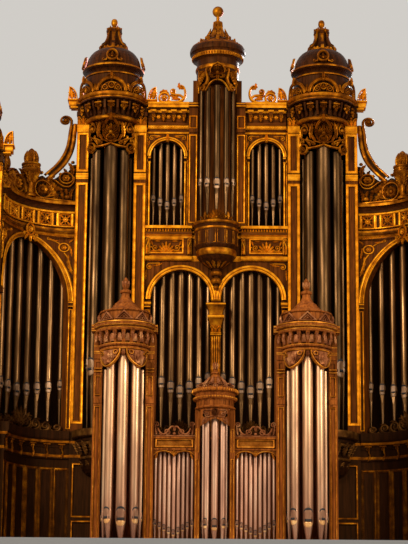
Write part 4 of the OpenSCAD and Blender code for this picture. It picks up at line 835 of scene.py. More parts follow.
def tower_shade():
    """Openwork shade over the pipes: a palmette in an oval ring between leaf scrolls, roundels below."""
    half = merge(
        band(smooth([(0.0, -0.505), (0.09, -0.535), (0.19, -0.555), (0.335, -0.56)], 5), 0.046, 0.04),
        ring((0.445, -0.560), 0.098, 0.034, 0.045),
        leaf((0.385, -0.62), (0.505, -0.50), 0.10, 0.045, lobes=3),
        scroll([(0.20, -0.46), (0.30, -0.40), (0.42, -0.36), (0.525, -0.30)], (0.415, -0.165), 0.115, -20,
               turns=1.3, width=0.042, height=0.04),
        scroll([(0.545, -0.50), (0.53, -0.42)], (0.47, -0.395), 0.05, 20, turns=1.2, width=0.032,
               height=0.035),
        scroll([(0.06, -0.47), (0.13, -0.44)], (0.20, -0.475), 0.045, 110, way=-1, turns=1.1, width=0.03,
               height=0.035),
        leaf((0.27, -0.36), (0.225, -0.03), 0.12, 0.04, bend=-0.06, lobes=5, curl=0.02),
        leaf((0.17, -0.44), (0.30, -0.27), 0.09, 0.035, bend=0.1),
        leaf((0.28, -0.52), (0.40, -0.37), 0.09, 0.035, bend=0.15),
        leaf((0.27, -0.17), (0.34, -0.02), 0.08, 0.03, bend=0.1),
        leaf((0.36, -0.10), (0.49, -0.02), 0.07, 0.03, bend=0.1),
        leaf((0.52, -0.09), (0.53, -0.33), 0.08, 0.03, bend=-0.05, lobes=5),
        leaf((0.36, -0.42), (0.35, -0.30), 0.06, 0.03),
        leaf((0.53, -0.63), (0.40, -0.70), 0.07, 0.035, bend=-0.2, curl=0.02),
        leaf((0.19, -0.10), (0.165, -0.01), 0.05, 0.03),
        dome((0.415, -0.165), 0.045, 0.055), dome((0.30, -0.45), 0.026, 0.04),
        dome((0.545, -0.46), 0.024, 0.03),
        scroll([(0.02, -0.47), (0.065, -0.44)], (0.045, -0.385), 0.04, 300, turns=1.1, width=0.026,
               height=0.04),
        leaf((0.02, -0.30), (0.12, -0.33), 0.06, 0.04, bend=-0.2))
    return merge(
        mirrored(half), ring((0, -0.215), 0.15, 0.045, 0.05, HOLLOW, tall=1.62, steps=36),
        palmette((0, -0.29), 0.23, 7, 150, 0.08, slim=1.15, curl=0.0), dome((0, -0.275), 0.045, 0.1),
        ring((0, -0.385), 0.082, 0.026, 0.035, steps=20), leaf((0, -0.33), (0, -0.46), 0.06, 0.04),
        leaf((0, -0.46), (0, -0.535), 0.08, 0.05, curl=0.02))


carve("tower_shade_carving", merge(
    turned(tower_shade(), shade_r, tower_h),
    turned(merge(leaf((0, -0.05), (0, 0.11), 0.12, 0.05, curl=0.03), mirrored(
        leaf((0.01, 0.04), (0.10, 0.07), 0.05, 0.03, bend=0.2))), shade_r + 0.06, tower_h + 0.03)),
    shaded_gold, ALL_TOWERS, ["tower_shades"])


def lunette():
    """One arch of the crown's gallery, with a leafy keystone and three pierced lobes."""
    half = (gallery_r + 0.018) * math.pi / lunettes
    lobes = [
        ring((0.135, 0.105), 0.05, 0.024, 0.02, steps=16), dome((0.135, 0.105), 0.02, 0.025),
        leaf((0.07, 0.05), (0.085, 0.17), 0.045, 0.02, lobes=3),
        leaf((0.205, 0.06), (0.20, 0.17), 0.04, 0.02, lobes=3, bend=-0.1),
        dome((0.085, 0.195), 0.02, 0.024),
        leaf((half - 0.02, 0.06), (half - 0.02, 0.22), 0.06, 0.02, lobes=3),
        leaf((0.02, 0.36), (0.10, 0.33), 0.05, 0.03, bend=0.2),
    ]
    return merge(
        mirrored(merge(*lobes)),
        ring((0, 0.155), 0.06, 0.026, 0.02, tall=1.1, steps=18),
        palmette((0, 0.11), 0.09, 5, 120, 0.02, slim=0.9),
        band(arc((0, 0.045), 0.298, 0, 180, 22, 0.9), 0.066, 0.036, HOLLOW),
        band(arc((0, 0.035), 0.215, 0, 180, 22, 0.85), 0.02, 0.014),
        band([(-half, 0.022), (half, 0.022)], 0.044, 0.03, HOLLOW),
        leaf((0, 0.26), (0, 0.45), 0.12, 0.05, curl=0.02), dome((0, 0.30), 0.034, 0.065))


carve("gallery_carving", merge(*(turned(lunette(), gallery_r, cornice_top, angle=360 / lunettes * i)
                                 for i in range(lunettes))), shaded_gold, ALL_TOWERS,
      ["tower_galleries"])


def capital(width, height):
    """Leafy capital over a pilaster: three leaves under corner volutes and an eye."""
    w, h = width, height
    return merge(
        mirrored(merge(leaf((0.30 * w, 0.02), (0.36 * w, 0.62 * h), 0.34 * w, 0.03, curl=0.03),
                       scroll([(0.10 * w, 0.50 * h), (0.22 * w, 0.72 * h)], (0.38 * w, 0.74 * h), 0.14 * w,
                              110, way=-1, turns=1.2, width=0.022, height=0.03))),
        leaf((0, 0.02), (0, 0.74 * h), 0.36 * w, 0.035, curl=0.035), rosette((0, 0.86 * h), 0.13 * w, 0.04),
        band([(-w / 2, 0.012), (w / 2, 0.012)], 0.026, 0.02))


capitals = merge(*(flat(capital(pilaster_w, 0.215), pilaster_face, x, tower_h)
                   for x in (-pilaster_x, pilaster_x)))
carve("tower_capitals", capitals, gold, ALL_TOWERS)

tower_return = merge(
    band([(tower_half, cornice_top - 0.075), (tower_half + 0.19, cornice_top - 0.075)], 0.115, 0.02,
         back=0.22),
    band([(tower_half, cornice_top + 0.005), (tower_half + 0.215, cornice_top + 0.005)], 0.045, 0.045,
         back=0.24),
    band([(tower_half, cornice_top - 0.155), (tower_half + 0.15, cornice_top - 0.155)], 0.04, 0.01, back=0.2),
    band([(tower_half + 0.02, cornice_top + 0.02), *((tower_half + 0.19 - 0.165 * math.cos(t),
                                                      cornice_top + 0.03 + 0.25 * math.sin(t))
                                                     for t in np.linspace(0.1, 1.5, 9)),
          (tower_half + 0.195, cornice_top + 0.02)], 0.028, 0.04, back=0.06),
    leaf((tower_half + 0.125, cornice_top + 0.03), (tower_half + 0.165, cornice_top + 0.26), 0.15, 0.04,
         back=0.06),
    leaf((tower_half + 0.06, cornice_top + 0.03), (tower_half + 0.10, cornice_top + 0.19), 0.08, 0.035,
         back=0.06))
inner_return = flat((tower_return[0] * (-1, 1, 1), [face[::-1] for face in tower_return[1]]),
                    pilaster_face + 0.02)
carve("tower_returns", merge(inner_return, flat(tower_return, pilaster_face + 0.02)), gold,
      MAIN_TOWERS)
carve("outer_tower_returns", inner_return, gold, ALL_TOWERS[2:])


def cartouche():
    """Oval ring with a lily, on the shoulder of a crown, its foot curled out along the ring below."""
    return merge(
        ring((0, 0.0), 0.106, 0.05, 0.045, tall=1.12), palmette((0, -0.08), 0.16, 3, 80, 0.045, curl=0.0),
        dome((0, -0.045), 0.03, 0.05),
        mirrored(scroll([(0.10, -0.06), (0.115, -0.12)], (0.17, -0.105), 0.035, 200, turns=0.9, width=0.03,
                        height=0.03)))


def console():
    """S curved gilt console that stands on a crown's shoulder and leans on its neck."""
    return merge(
        scroll([(0.130, 0.50), (0.137, 0.40), (0.165, 0.29), (0.225, 0.18), (0.30, 0.11)], (0.275, 0.055),
               0.058, 60, way=-1, turns=1.1, width=0.038, height=0.032, eye=0, back=0.032),
        dome((0.235, 0.065), 0.036, 0.045, back=0.045),
        scroll([(0.15, 0.40), (0.13, 0.46)], (0.125, 0.515), 0.042, 200, way=-1, turns=1.0, width=0.03,
               height=0.036, back=0.036))


carve("crown_carving", merge(
    *(turned(cartouche(), 0.60, shoulder_h, angle=90 * i, lean=-0.26) for i in range(4)),
    *(spoke(console(), neck_h - 0.04, angle=60 * i) for i in range(6)),
    *(turned(merge(dome((0, 0.03), 0.032, 0.04), dome((0.07, 0.03), 0.03, 0.04)), 0.27, neck_h,
             angle=60 * i + 25) for i in range(6)),
    *(turned(palmette((0, 0), 0.10, 5, 150, 0.025, back=0.02, curl=0.02), 0.135, tip_h,
             angle=60 * i + 30) for i in range(6))),
    shaded_gold, ALL_TOWERS)


def panel_frames(base, top):
    """Gilt frames of a pilaster's long lower panel and its upper one."""
    x = pilaster_w / 2
    z = top - 1.1
    return merge(
        frame_of(-x, x, base + 0.16, z - 0.135, 0.06, 0.022),
        frame_of(-x, x, z + 0.09, top - 0.146, 0.06, 0.022),
        band([(-x, z - 0.008), (x, z - 0.008)], 0.12, 0.03, back=0.0),
        band([(-x, top - 0.11), (x, top - 0.11)], 0.06, 0.04, back=0.0))


for name, places, top in (("main", MAIN_TOWERS, tower_h), ("outer", OUTER_FEET, tower_h - outer_drop)):
    frames = merge(*(flat(panel_frames(base_h, top), pilaster_face, x) for x in (-pilaster_x, pilaster_x)))
    carve(name + "_pilaster_frames", frames, gold, places)

head_bracket = merge(
    band([(-0.07, 0), (0.07, 0)], 0.045, 0.03), moved(merge(
        mirrored(scroll([(0.012, -0.03)], (0.036, -0.07), 0.034, 130, way=-1, turns=1.1, width=0.024,
                        height=0.045)),
        leaf((0, -0.05), (0, -0.17), 0.06, 0.035, lobes=3, curl=0.02)), z=-0.02))
row("head_gilt_brackets", [around(bracket_ring_r, tower_h + 0.365, 3 * bracket_turn)], head_bracket,
    bracket_ring_r * math.radians(bracket_turn), shaded_gold, places=ALL_TOWERS)


# Centre block

# Faces of the centre block that carving lies on, as places before the case's front plane
board_face, arch_face, cap_face = -0.06, -0.095, -0.118
fan_face, rail_bracket_face, tongue_face = -0.078, -0.115, -0.135
bar_face, bracket_face, top_frieze_face, pearl_face = -0.195, -0.15, -0.093, -0.128

jamb = arch_x + arch_r
column_r = 0.084
lower_arch = merge(
    band(arc((arch_x, lower_spring), arch_r + archivolt_w - 0.029, 0, 180, 40), 0.058, 0.026),
    band(arc((arch_x, lower_spring), arch_r + 0.03, 0, 180, 40), 0.034, 0.012),
    band(arc((arch_x, lower_spring), arch_r + 0.006, 0, 180, 40), 0.016, 0.02))
spandrel = merge(
    scroll([(1.16, 0.765), (1.27, 0.765)], (1.375, 0.695), 0.068, 100, way=-1, turns=1.2, width=0.028,
           height=0.02),
    rosette((1.375, 0.695), 0.035, 0.025), leaf((1.44, 0.64), (1.455, 0.41), 0.05, 0.02),
    leaf((1.31, 0.72), (1.10, 0.775), 0.05, 0.02, bend=0.1), leaf((0.04, 0.76), (0.30, 0.77), 0.06, 0.02))
spring_caps = merge(
    band([(jamb - 0.01, lower_spring - 0.09), (tower_inner, lower_spring - 0.09)], 0.06, 0.02, back=0.0),
    band([(jamb, lower_spring - 0.165), (tower_inner, lower_spring - 0.165)], 0.03, 0.03))
carve("lower_arch_mouldings", merge(
    flat(lower_arch, arch_face), flat(spandrel, board_face, z=lower_spring), flat(spring_caps, cap_face)),
    gold, PAIR)
carve("lower_jamb_frames", flat(frame_of(
    jamb + 0.015, tower_inner - 0.012, base_h + 0.1, lower_spring - 0.21, 0.026, 0.014), board_face),
    gold, PAIR)

column_foot, column_head = base_h + 0.25, lower_spring - 0.67
flutes = [upright(column_r * math.sin(a), board_face - (column_r - 0.006) * math.cos(a), column_foot,
                  column_head) for a in np.radians(np.arange(-75, 76, 30))]
bead_run("centre_column_flutes", flutes, 0.017, shaded_gold)
block = lathe([(math.sqrt(2) * r, z) for r, z in (
    (0.19, 0.0), (0.2, -0.006), (0.2, -0.045), (0.18, -0.06), (0.165, -0.1), (0.14, -0.16), (0.128, -0.215),
    (0.13, -0.235), (0.165, -0.25), (0.168, -0.31), (0.15, -0.325), (0.125, -0.39), (0.108, -0.45),
    (0.1, -0.47), (0.1, -0.62), (0.108, -0.63), (0.108, -0.66), (0.098, -0.67))], 4, turn=math.pi / 4)
block_top = lower_spring - 0.1
block_y = -0.065
carve("centre_column_block", moved(block, y=block_y, z=block_top), shaded_gold)
carve("centre_column_capital", merge(
    flat(capital(0.21, 0.16), block_y - 0.103, z=block_top - 0.62),
    *(flat(band([(-w, 0), (w, 0)], wide, 0.012, back=0.0), block_y - w, z=block_top + v)
      for w, v, wide in ((0.2, -0.026, 0.036), (0.168, -0.28, 0.05), (0.108, -0.645, 0.026))),
    flat(merge(leaf((0, 0.02), (0, 0.36), 0.16, 0.03, curl=0.04),
               band([(-0.1, -0.02), (0.1, -0.02)], 0.05, 0.02)),
         block_y - 0.01, z=lower_spring + 0.02)), gold)

fan = merge(
    frame_of(-0.36, 0.36, -0.165, 0.165, 0.036, 0.02),
    palmette((0, -0.12), 0.22, 7, 150, 0.025, back=0.03),
    mirrored(merge(
        scroll([(0.03, -0.11), (0.12, -0.10)], (0.225, -0.04), 0.062, 270, turns=1.25, width=0.026,
               height=0.025, back=0.03),
        leaf((0.14, -0.11), (0.32, -0.11), 0.05, 0.02, back=0.03),
        leaf((0.27, 0.0), (0.31, 0.11), 0.05, 0.02, back=0.03),
        leaf((0.12, 0.10), (0.25, 0.10), 0.045, 0.02, back=0.03),
        dome((0.31, -0.03), 0.018, 0.03, back=0.03))))
fan_x = (corbel_clear + tower_inner + 0.09) / 2
bracket = merge(
    scroll([(0.012, -0.33), (0.02, -0.2), (-0.012, -0.1)], (-0.003, -0.035), 0.032, 200, way=-1, turns=1.0,
           width=0.034, height=0.03),
    leaf((0, -0.16), (0, -0.35), 0.07, 0.03, curl=0.02),
    *(band([(u, -0.34), (u, -0.02)], 0.012, 0.016) for u in (-0.034, 0.034)))
carve("fan_panels", flat(fan, fan_face, fan_x, (rail_h + shelf_h) / 2 - 0.045), gold, PAIR)
carve("rail_brackets", merge(*(flat(bracket, rail_bracket_face, x, shelf_h - 0.26)
                               for x in (corbel_clear + 0.05, tower_inner - 0.05))),
      gold, PAIR)
row("rail_tongues", [across(corbel_clear + 0.03, tower_inner - 0.03, tongue_face, shelf_h - 0.125)],
    leaf((0, 0), (0, 0.06), 0.05, 0.02, lobes=2), 0.056, gold, places=PAIR)

upper_arch = merge(
    band(arc((0, 0), upper_arch_r + 0.055, 0, 180, 30), 0.044, 0.024),
    band(arc((0, 0), upper_arch_r + 0.017, 0, 180, 30), 0.03, 0.010),
    leaf((0, 0.31), (0, 0.50), 0.11, 0.045, curl=0.02), dome((0, 0.35), 0.028, 0.055),
    mirrored(merge(
        band([(upper_arch_r - 0.004, -0.03), (upper_arch_r + 0.05, -0.03)], 0.06, 0.028),
        band([(upper_arch_r, -0.13), (upper_arch_r + 0.045, -0.13)], 0.045, 0.014))))
corner = mirrored(merge(
    scroll([(0.16, 0.455), (0.25, 0.46)], (0.335, 0.41), 0.052, 90, way=-1, turns=1.2, width=0.022,
           height=0.018),
    leaf((0.38, 0.36), (0.405, 0.20), 0.045, 0.018), leaf((0.27, 0.43), (0.13, 0.465), 0.04, 0.018, bend=0.1),
    frame_of(0.405, 0.43, shelf_h - upper_spring + 0.02, 0.49, 0.022, 0.012)))
carve("upper_arch_mouldings", merge(
    flat(upper_arch, arch_face - 0.002, upper_x, upper_spring),
    flat(corner, board_face, upper_x, upper_spring)), gold, PAIR)
colonnettes = [upright(upper_x + s * (upper_arch_r + 0.022), board_face - 0.03, shelf_h + 0.02,
                       upper_spring - 0.15) for s in (-1, 1)]
bead_run("upper_colonnettes", colonnettes, 0.019, gold, PAIR)

pitch = (tower_inner - 0.03 - post_outer) / 4
first, last = post_outer + pitch / 2, tower_inner - 0.03 - pitch / 2
row("top_bracket_bars", [across(first, last, bar_face, top_h - 0.175)],
    band([(-0.06, 0), (0.06, 0)], 0.05, 0.02), pitch, gold, places=PAIR)
row("top_bracket_scrolls", [across(first, last, bracket_face, top_h - 0.30)], merge(
    scroll([(0.012, -0.07)], (0.0, 0.02), 0.042, 250, turns=1.2, width=0.022, height=0.03, back=0.05),
    leaf((0, -0.01), (0, -0.10), 0.06, 0.03, back=0.05)), pitch, gold, places=PAIR)
row("top_frieze_rosettes", [across(first + pitch / 2, last - pitch / 2, top_frieze_face, top_h - 0.29)],
    merge(rosette((0, 0), 0.05, 0.022),
          *(leaf((0, 0.0), (s * 0.085, 0), 0.03, 0.014, lobes=3) for s in (1, -1))),
    pitch, gold, places=PAIR)
row("top_pearls", [across(post_outer + 0.03, tower_inner - 0.06, pearl_face, board_top + 0.143)],
    dome((0, 0), 0.02, 0.014, 8), 0.055, gold, places=PAIR)

top_scroll = merge(
    ring((0.515, 0.135), 0.105, 0.05, 0.05, back=0.03), rosette((0.515, 0.135), 0.075, 0.05, back=0.03),
    leaf((0.42, 0.20), (0.62, 0.235), 0.11, 0.04, bend=0.3, curl=0.02, back=0.03),
    band(smooth([(0.45, 0.05), (0.33, 0.03), (0.2, 0.05), (0.105, 0.12), (0.075, 0.24), (0.105, 0.36),
                 (0.17, 0.41)], 5),
         0.075 * np.linspace(1, 0.5, 31), 0.05, back=0.03),
    leaf((0.11, 0.34), (0.205, 0.465), 0.11, 0.045, bend=-0.3, curl=0.02, back=0.03),
    scroll([(0.10, 0.13), (0.18, 0.19), (0.26, 0.2)], (0.325, 0.275), 0.065, 265, turns=1.2, width=0.05,
           height=0.045, back=0.03),
    leaf((0.20, 0.20), (0.40, 0.20), 0.09, 0.04, bend=-0.25, curl=0.02, back=0.03),
    leaf((0.18, 0.10), (0.36, 0.10), 0.1, 0.04, bend=0.1, back=0.03),
    band([(0.0, 0.012), (0.66, 0.012)], 0.024, 0.03, back=0.03))
carve("top_scroll_carving", flat(top_scroll, arch_face, post_outer + 0.01, top_h), gold,
      PAIR, ["top_scrolls"])


# Centre turret

bowl_r = 0.444
cap_ring_r = 0.53


def s_bracket():
    """Bold S scroll at the side of the turret's shade, with a leaf on its back."""
    return merge(
        scroll([(0.225, 0.02), (0.205, -0.08), (0.235, -0.18)], (0.325, -0.27), 0.062, 120, turns=1.2,
               width=0.06, height=0.06),
        scroll([(0.225, 0.02), (0.235, 0.08)], (0.185, 0.115), 0.05, 10, turns=1.0, width=0.05, height=0.055),
        leaf((0.25, 0.08), (0.40, -0.20), 0.14, 0.05, bend=0.12, lobes=5, curl=0.03),
        leaf((0.30, 0.10), (0.44, 0.02), 0.08, 0.035, bend=0.15),
        leaf((0.40, -0.06), (0.47, -0.22), 0.07, 0.035, bend=0.1),
        band([(0.47, 0.16), (0.47, -0.35)], 0.026, 0.016))


shade = merge(
    mirrored(s_bracket()), palmette((0, 0.02), 0.185, 7, 150, 0.1, slim=1.1, curl=0.0),
    band([(-0.13, 0.03), (-0.14, 0.11), (-0.09, 0.2), (0, 0.255), (0.09, 0.2), (0.14, 0.11), (0.13, 0.03)],
         0.036, 0.06),
    dome((0, 0.025), 0.04, 0.12), leaf((0, 0), (0, -0.12), 0.08, 0.06, curl=0.03),
    mirrored(merge(
        scroll([(0.02, -0.04), (0.07, -0.06)], (0.12, -0.02), 0.035, 270, turns=1.1, width=0.026,
               height=0.04),
        band(smooth([(0.0, -0.11), (0.08, -0.13), (0.16, -0.19), (0.22, -0.28), (0.26, -0.33)], 5), 0.03,
             0.03))))
carve("turret_shade_carving", turned(shade, 0.45, turret_head, turret_y), shaded_gold,
      ONE, ["turret_shade"])

corbel = lathe([
    (0.41, 0.011), (0.44, 0.02), (0.48, 0.027), (0.498, 0.005), (0.496, -0.018), (0.478, -0.036),
    (0.466, -0.05), (0.455, -0.075), (0.45, -0.1), (0.463, -0.114), (0.463, -0.145), (0.446, -0.162),
    (0.442, -0.484), (0.43, -0.495), (0.422, -0.52), (0.402, -0.536), (0.413, -0.565), (0.419, -0.61),
    (0.41, -0.655), (0.392, -0.69), (0.37, -0.706), (0.36, -0.73), (0.325, -0.765), (0.30, -0.778),
    (0.29, -0.795), (0.245, -0.82), (0.19, -0.855), (0.14, -0.895), (0.117, -0.92), (0.085, -0.93),
    (0.08, -0.95), (0.1, -0.975), (0.113, -1.01), (0.112, -1.04), (0.094, -1.066), (0.055, -1.079),
    (0.05, -1.11), (0.082, -1.13), (0.099, -1.17), (0.094, -1.21), (0.07, -1.236), (0.035, -1.25),
    (0.03, -1.275), (0.046, -1.3), (0.05, -1.325), (0.03, -1.352), (0.004, -1.357)], 64)
corbel = moved(corbel, y=turret_y, z=shelf_h)
corbel[0][:, 1] = np.minimum(corbel[0][:, 1], -0.055)
carve("turret_corbel_turning", corbel, turret_oak, ONE, ["turret_corbel"])
corbel_panels = merge(*(turned(frame_of(-0.088, 0.088, -0.14, 0.14, 0.018, 0.01), bowl_r, shelf_h - 0.322,
                               turret_y, angle=26 * i - 65) for i in range(6)))
crest = merge(
    palmette((0, 0.03), 0.20, 7, 150, 0.03, slim=1.2), dome((0, 0.05), 0.03, 0.04),
    band([(-0.42, 0.018), (0.42, 0.018)], 0.03, 0.02),
    mirrored(merge(
        scroll([(0.03, 0.05), (0.09, 0.04)], (0.155, 0.075), 0.045, 250, turns=1.2, width=0.026, height=0.03),
        leaf((0.245, 0.02), (0.245, 0.19), 0.07, 0.03),
        leaf((0.18, 0.10), (0.13, 0.16), 0.04, 0.02), leaf((0.30, 0.03), (0.38, 0.10), 0.06, 0.025))))
bell = merge(*(turned(leaf((0, 0), (0, 0.125), 0.055, 0.012, lobes=2), 0.118, shelf_h - 0.92, turret_y,
                      angle=30 * i + 15, lean=1.38) for i in range(-3, 3)))
carve("turret_corbel_carving", merge(corbel_panels, turned(crest, 0.427, shelf_h + 0.02, turret_y), bell),
      shaded_gold)

turret_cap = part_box("turret_crown")[1].z - turret_head
cornice = lathe([
    (0.36, 0.775), (0.50, 0.765), (0.545, 0.735), (0.575, 0.68), (0.588, 0.625), (0.583, 0.575), (0.56, 0.56),
    (0.54, 0.545), (0.53, 0.515), (0.527, 0.44), (0.505, 0.43), (0.448, 0.41), (0.437, 0.395), (0.437, 0.265),
    (0.456, 0.255), (0.466, 0.22), (0.456, 0.185), (0.44, 0.175), (0.437, 0.0)], 64)
carve("turret_cornice_turning", moved(cornice, y=turret_y, z=turret_head), turret_head_oak, ONE,
      ["turret_cornice"])
ball_r = 0.117
ball = [(max(ball_r * math.sin(t), 0.004), turret_cap - ball_r - 0.001 + ball_r * math.cos(t))
        for t in np.linspace(0.03, 2.75, 12)]
crown = lathe(ball + [
    (0.035, turret_cap - 0.24), (0.035, 1.335), (0.055, 1.325), (0.06, 1.29), (0.08, 1.24), (0.10, 1.18),
    (0.125, 1.12), (0.15, 1.05), (0.19, 0.98), (0.25, 0.92), (0.31, 0.885), (0.34, 0.86), (0.345, 0.835),
    (0.38, 0.82), (0.39, 0.79), (0.39, 0.76)], 48)
carve("turret_crown_turning", moved(crown, y=turret_y, z=turret_head), turret_crown_oak, ONE,
      ["turret_crown"])
foot = scroll([(0.065, 0.49), (0.075, 0.38), (0.115, 0.27), (0.18, 0.16), (0.255, 0.09)], (0.315, 0.045),
              0.045, 130, way=-1, turns=1.1, width=0.045, height=0.035, back=0.035)
carve("turret_head_carving", merge(
    *(spoke(foot, turret_head + 0.835, turret_y, angle=45 * i) for i in range(8)),
    *(turned(leaf((0, 0), (0, 0.30), 0.17, 0.03, lobes=5, curl=0.04), 0.30, turret_head + 0.86, turret_y,
             angle=45 * i + 22.5, lean=-0.62) for i in range(8)),
    *(turned(leaf((0, 0), (0, 0.16), 0.08, 0.02, curl=0.03), 0.105, turret_head + 1.15, turret_y,
             angle=60 * i, lean=-0.2) for i in range(6)),
    *(turned(leaf((0, -0.01), (0, 0.12), 0.12, 0.03, curl=0.02), 0.40, turret_head + 0.765, turret_y,
             angle=30 * i, lean=-0.1) for i in range(12))), shaded_gold)
row("turret_ring_tongues", [around(cap_ring_r, turret_head + 0.445, 175, turret_y)],
    leaf((0, 0), (0, 0.06), 0.045, 0.018, lobes=2), 0.06, shaded_gold)

post_x = (0.41 + post_outer) / 2
panel_half = 0.085
carve("turret_post_frames", flat(merge(
    frame_of(-panel_half, panel_half, shelf_h + 0.04, board_top - 0.05, 0.03, 0.016),
    frame_of(-panel_half, panel_half, board_top + 0.08, top_h - 0.29, 0.026, 0.016),
    *(band([(-0.1, v), (0.1, v)], 0.04, 0.052) for v in (top_h - 0.03, top_h - 0.085))),
    -0.202, x=post_x), gold, PAIR)


# Wings

wing_arch_r = wing_r * math.sin(math.radians(40))
wing_rise = 1.25


def wing_ellipse(out):
    """The wing arch's opening, or a line a little way outside it."""
    r = wing_arch_r + out
    return arc((0, wing_spring), r, 0, 180, 44, (wing_rise + out) / r)


wing_arch = winged(merge(band(wing_ellipse(0.078), 0.05, 0.026), band(wing_ellipse(0.012), 0.026, 0.02),
                         *(band(wing_ellipse(off), 0.011, 0.01) for off in (0.033, 0.045))), out=0.028)
wing_jambs = mirrored(merge(
    frame_of(0.892, 0.962, base_h + 0.08, wing_spring - 0.16, 0.02, 0.012),
    band([(0.884, wing_spring - 0.03), (0.966, wing_spring - 0.03)], 0.055, 0.065),
    band([(0.884, wing_spring - 0.11), (0.966, wing_spring - 0.11)], 0.035, 0.058)))
wall_h = wing_wall_top - wing_spring
wing_spandrel = mirrored(merge(
    ring((0.795, 1.138), 0.088, 0.03, 0.022), rosette((0.795, 1.138), 0.055, 0.035),
    scroll([(0.80, 1.028), (0.86, 0.928), (0.905, 0.768)], (0.905, 0.648), 0.035, 60, way=-1, turns=0.9,
           width=0.026, height=0.02),
    leaf((0.87, 0.988), (0.945, 0.568), 0.07, 0.022, bend=-0.05),
    leaf((0.88, 1.248), (0.955, 1.328), 0.05, 0.02), leaf((0.90, 1.178), (0.93, 0.948), 0.05, 0.02),
    scroll([(0.72, 1.208), (0.64, 1.258), (0.56, 1.278)], (0.50, 1.313), 0.03, 270, way=-1, turns=0.9,
           width=0.024, height=0.02),
    leaf((0.70, 1.278), (0.46, 1.338), 0.05, 0.02, bend=0.1),
    frame_of(0.02, 0.962, wall_h - 0.03, wall_h, 0.012, 0.012)))
wing_medal = merge(
    ring((0, 0.0), 0.105, 0.034, 0.03, HOLLOW, tall=1.15), rosette((0, 0.0), 0.075, 0.045, 8),
    leaf((0, -0.11), (0, -0.27), 0.08, 0.035, curl=0.02),
    mirrored(merge(leaf((0.05, -0.11), (0.15, -0.24), 0.07, 0.03, bend=0.1),
                   scroll([(0.04, -0.13), (0.11, -0.135)], (0.165, -0.10), 0.04, 270, turns=1.1, width=0.024,
                          height=0.025))), leaf((0, 0.10), (0, 0.18), 0.06, 0.03))
carve("wing_arch_carving", merge(
    wing_arch, winged(wing_jambs), winged(wing_spandrel, wing_spring, 0.002),
    winged(wing_medal, z=wing_wall_top + 0.03, out=0.108)), gold, PAIR)
frieze_step = wing_r * math.pi / 10
frieze_z, frieze_out = wing_h - 0.378, 0.028
frieze_panel = merge(
    rosette((0, 0), 0.07, 0.035, 8), frame_of(-0.118, 0.118, -0.118, 0.118, 0.016, 0.012),
    *(leaf((x * 0.035, y * 0.035), (x * 0.105, y * 0.105), 0.05, 0.02, lobes=2) for x in (-1, 1)
      for y in (-1, 1)),
    *(leaf((x * 0.05, y * 0.05), (x * 0.10, y * 0.10), 0.032, 0.016, lobes=2)
      for x, y in ((-1, 0), (1, 0), (0, -1), (0, 1))),
    *(band([(x, -0.14), (x, 0.14)], 0.062, 0.022) for x in (-0.154, 0.154)))
row("wing_frieze_panels", [wing_round(2 * frieze_step, frieze_out, frieze_z)], frieze_panel,
    frieze_step * (wing_r - frieze_out) / wing_r, gold, places=PAIR)
rail_line = np.linspace(-2.45 * frieze_step, 2.45 * frieze_step, 41)
frieze_rails = merge(*(band(np.stack([rail_line, np.full(41, v)], 1), wide, 0.028)
                       for v, wide in ((0.158, 0.062), (-0.146, 0.036))))
carve("wing_frieze_rails", winged(frieze_rails, frieze_z, frieze_out, chord=False), gold,
      PAIR)


# The swept double band from the wing's foot up to the main tower, as places on the wing's face
THICK_BAND = [(-0.93, 1.72), (-0.915, 1.515), (-0.907, 1.361), (-0.893, 1.237), (-0.862, 1.082),
              (-0.807, 0.926), (-0.737, 0.799), (-0.65, 0.684), (-0.558, 0.583), (-0.44, 0.475)]
THIN_BAND = [(-0.862, 1.66), (-0.847, 1.513), (-0.833, 1.358), (-0.807, 1.203), (-0.756, 1.046),
             (-0.684, 0.901), (-0.594, 0.77), (-0.499, 0.667), (-0.40, 0.56)]


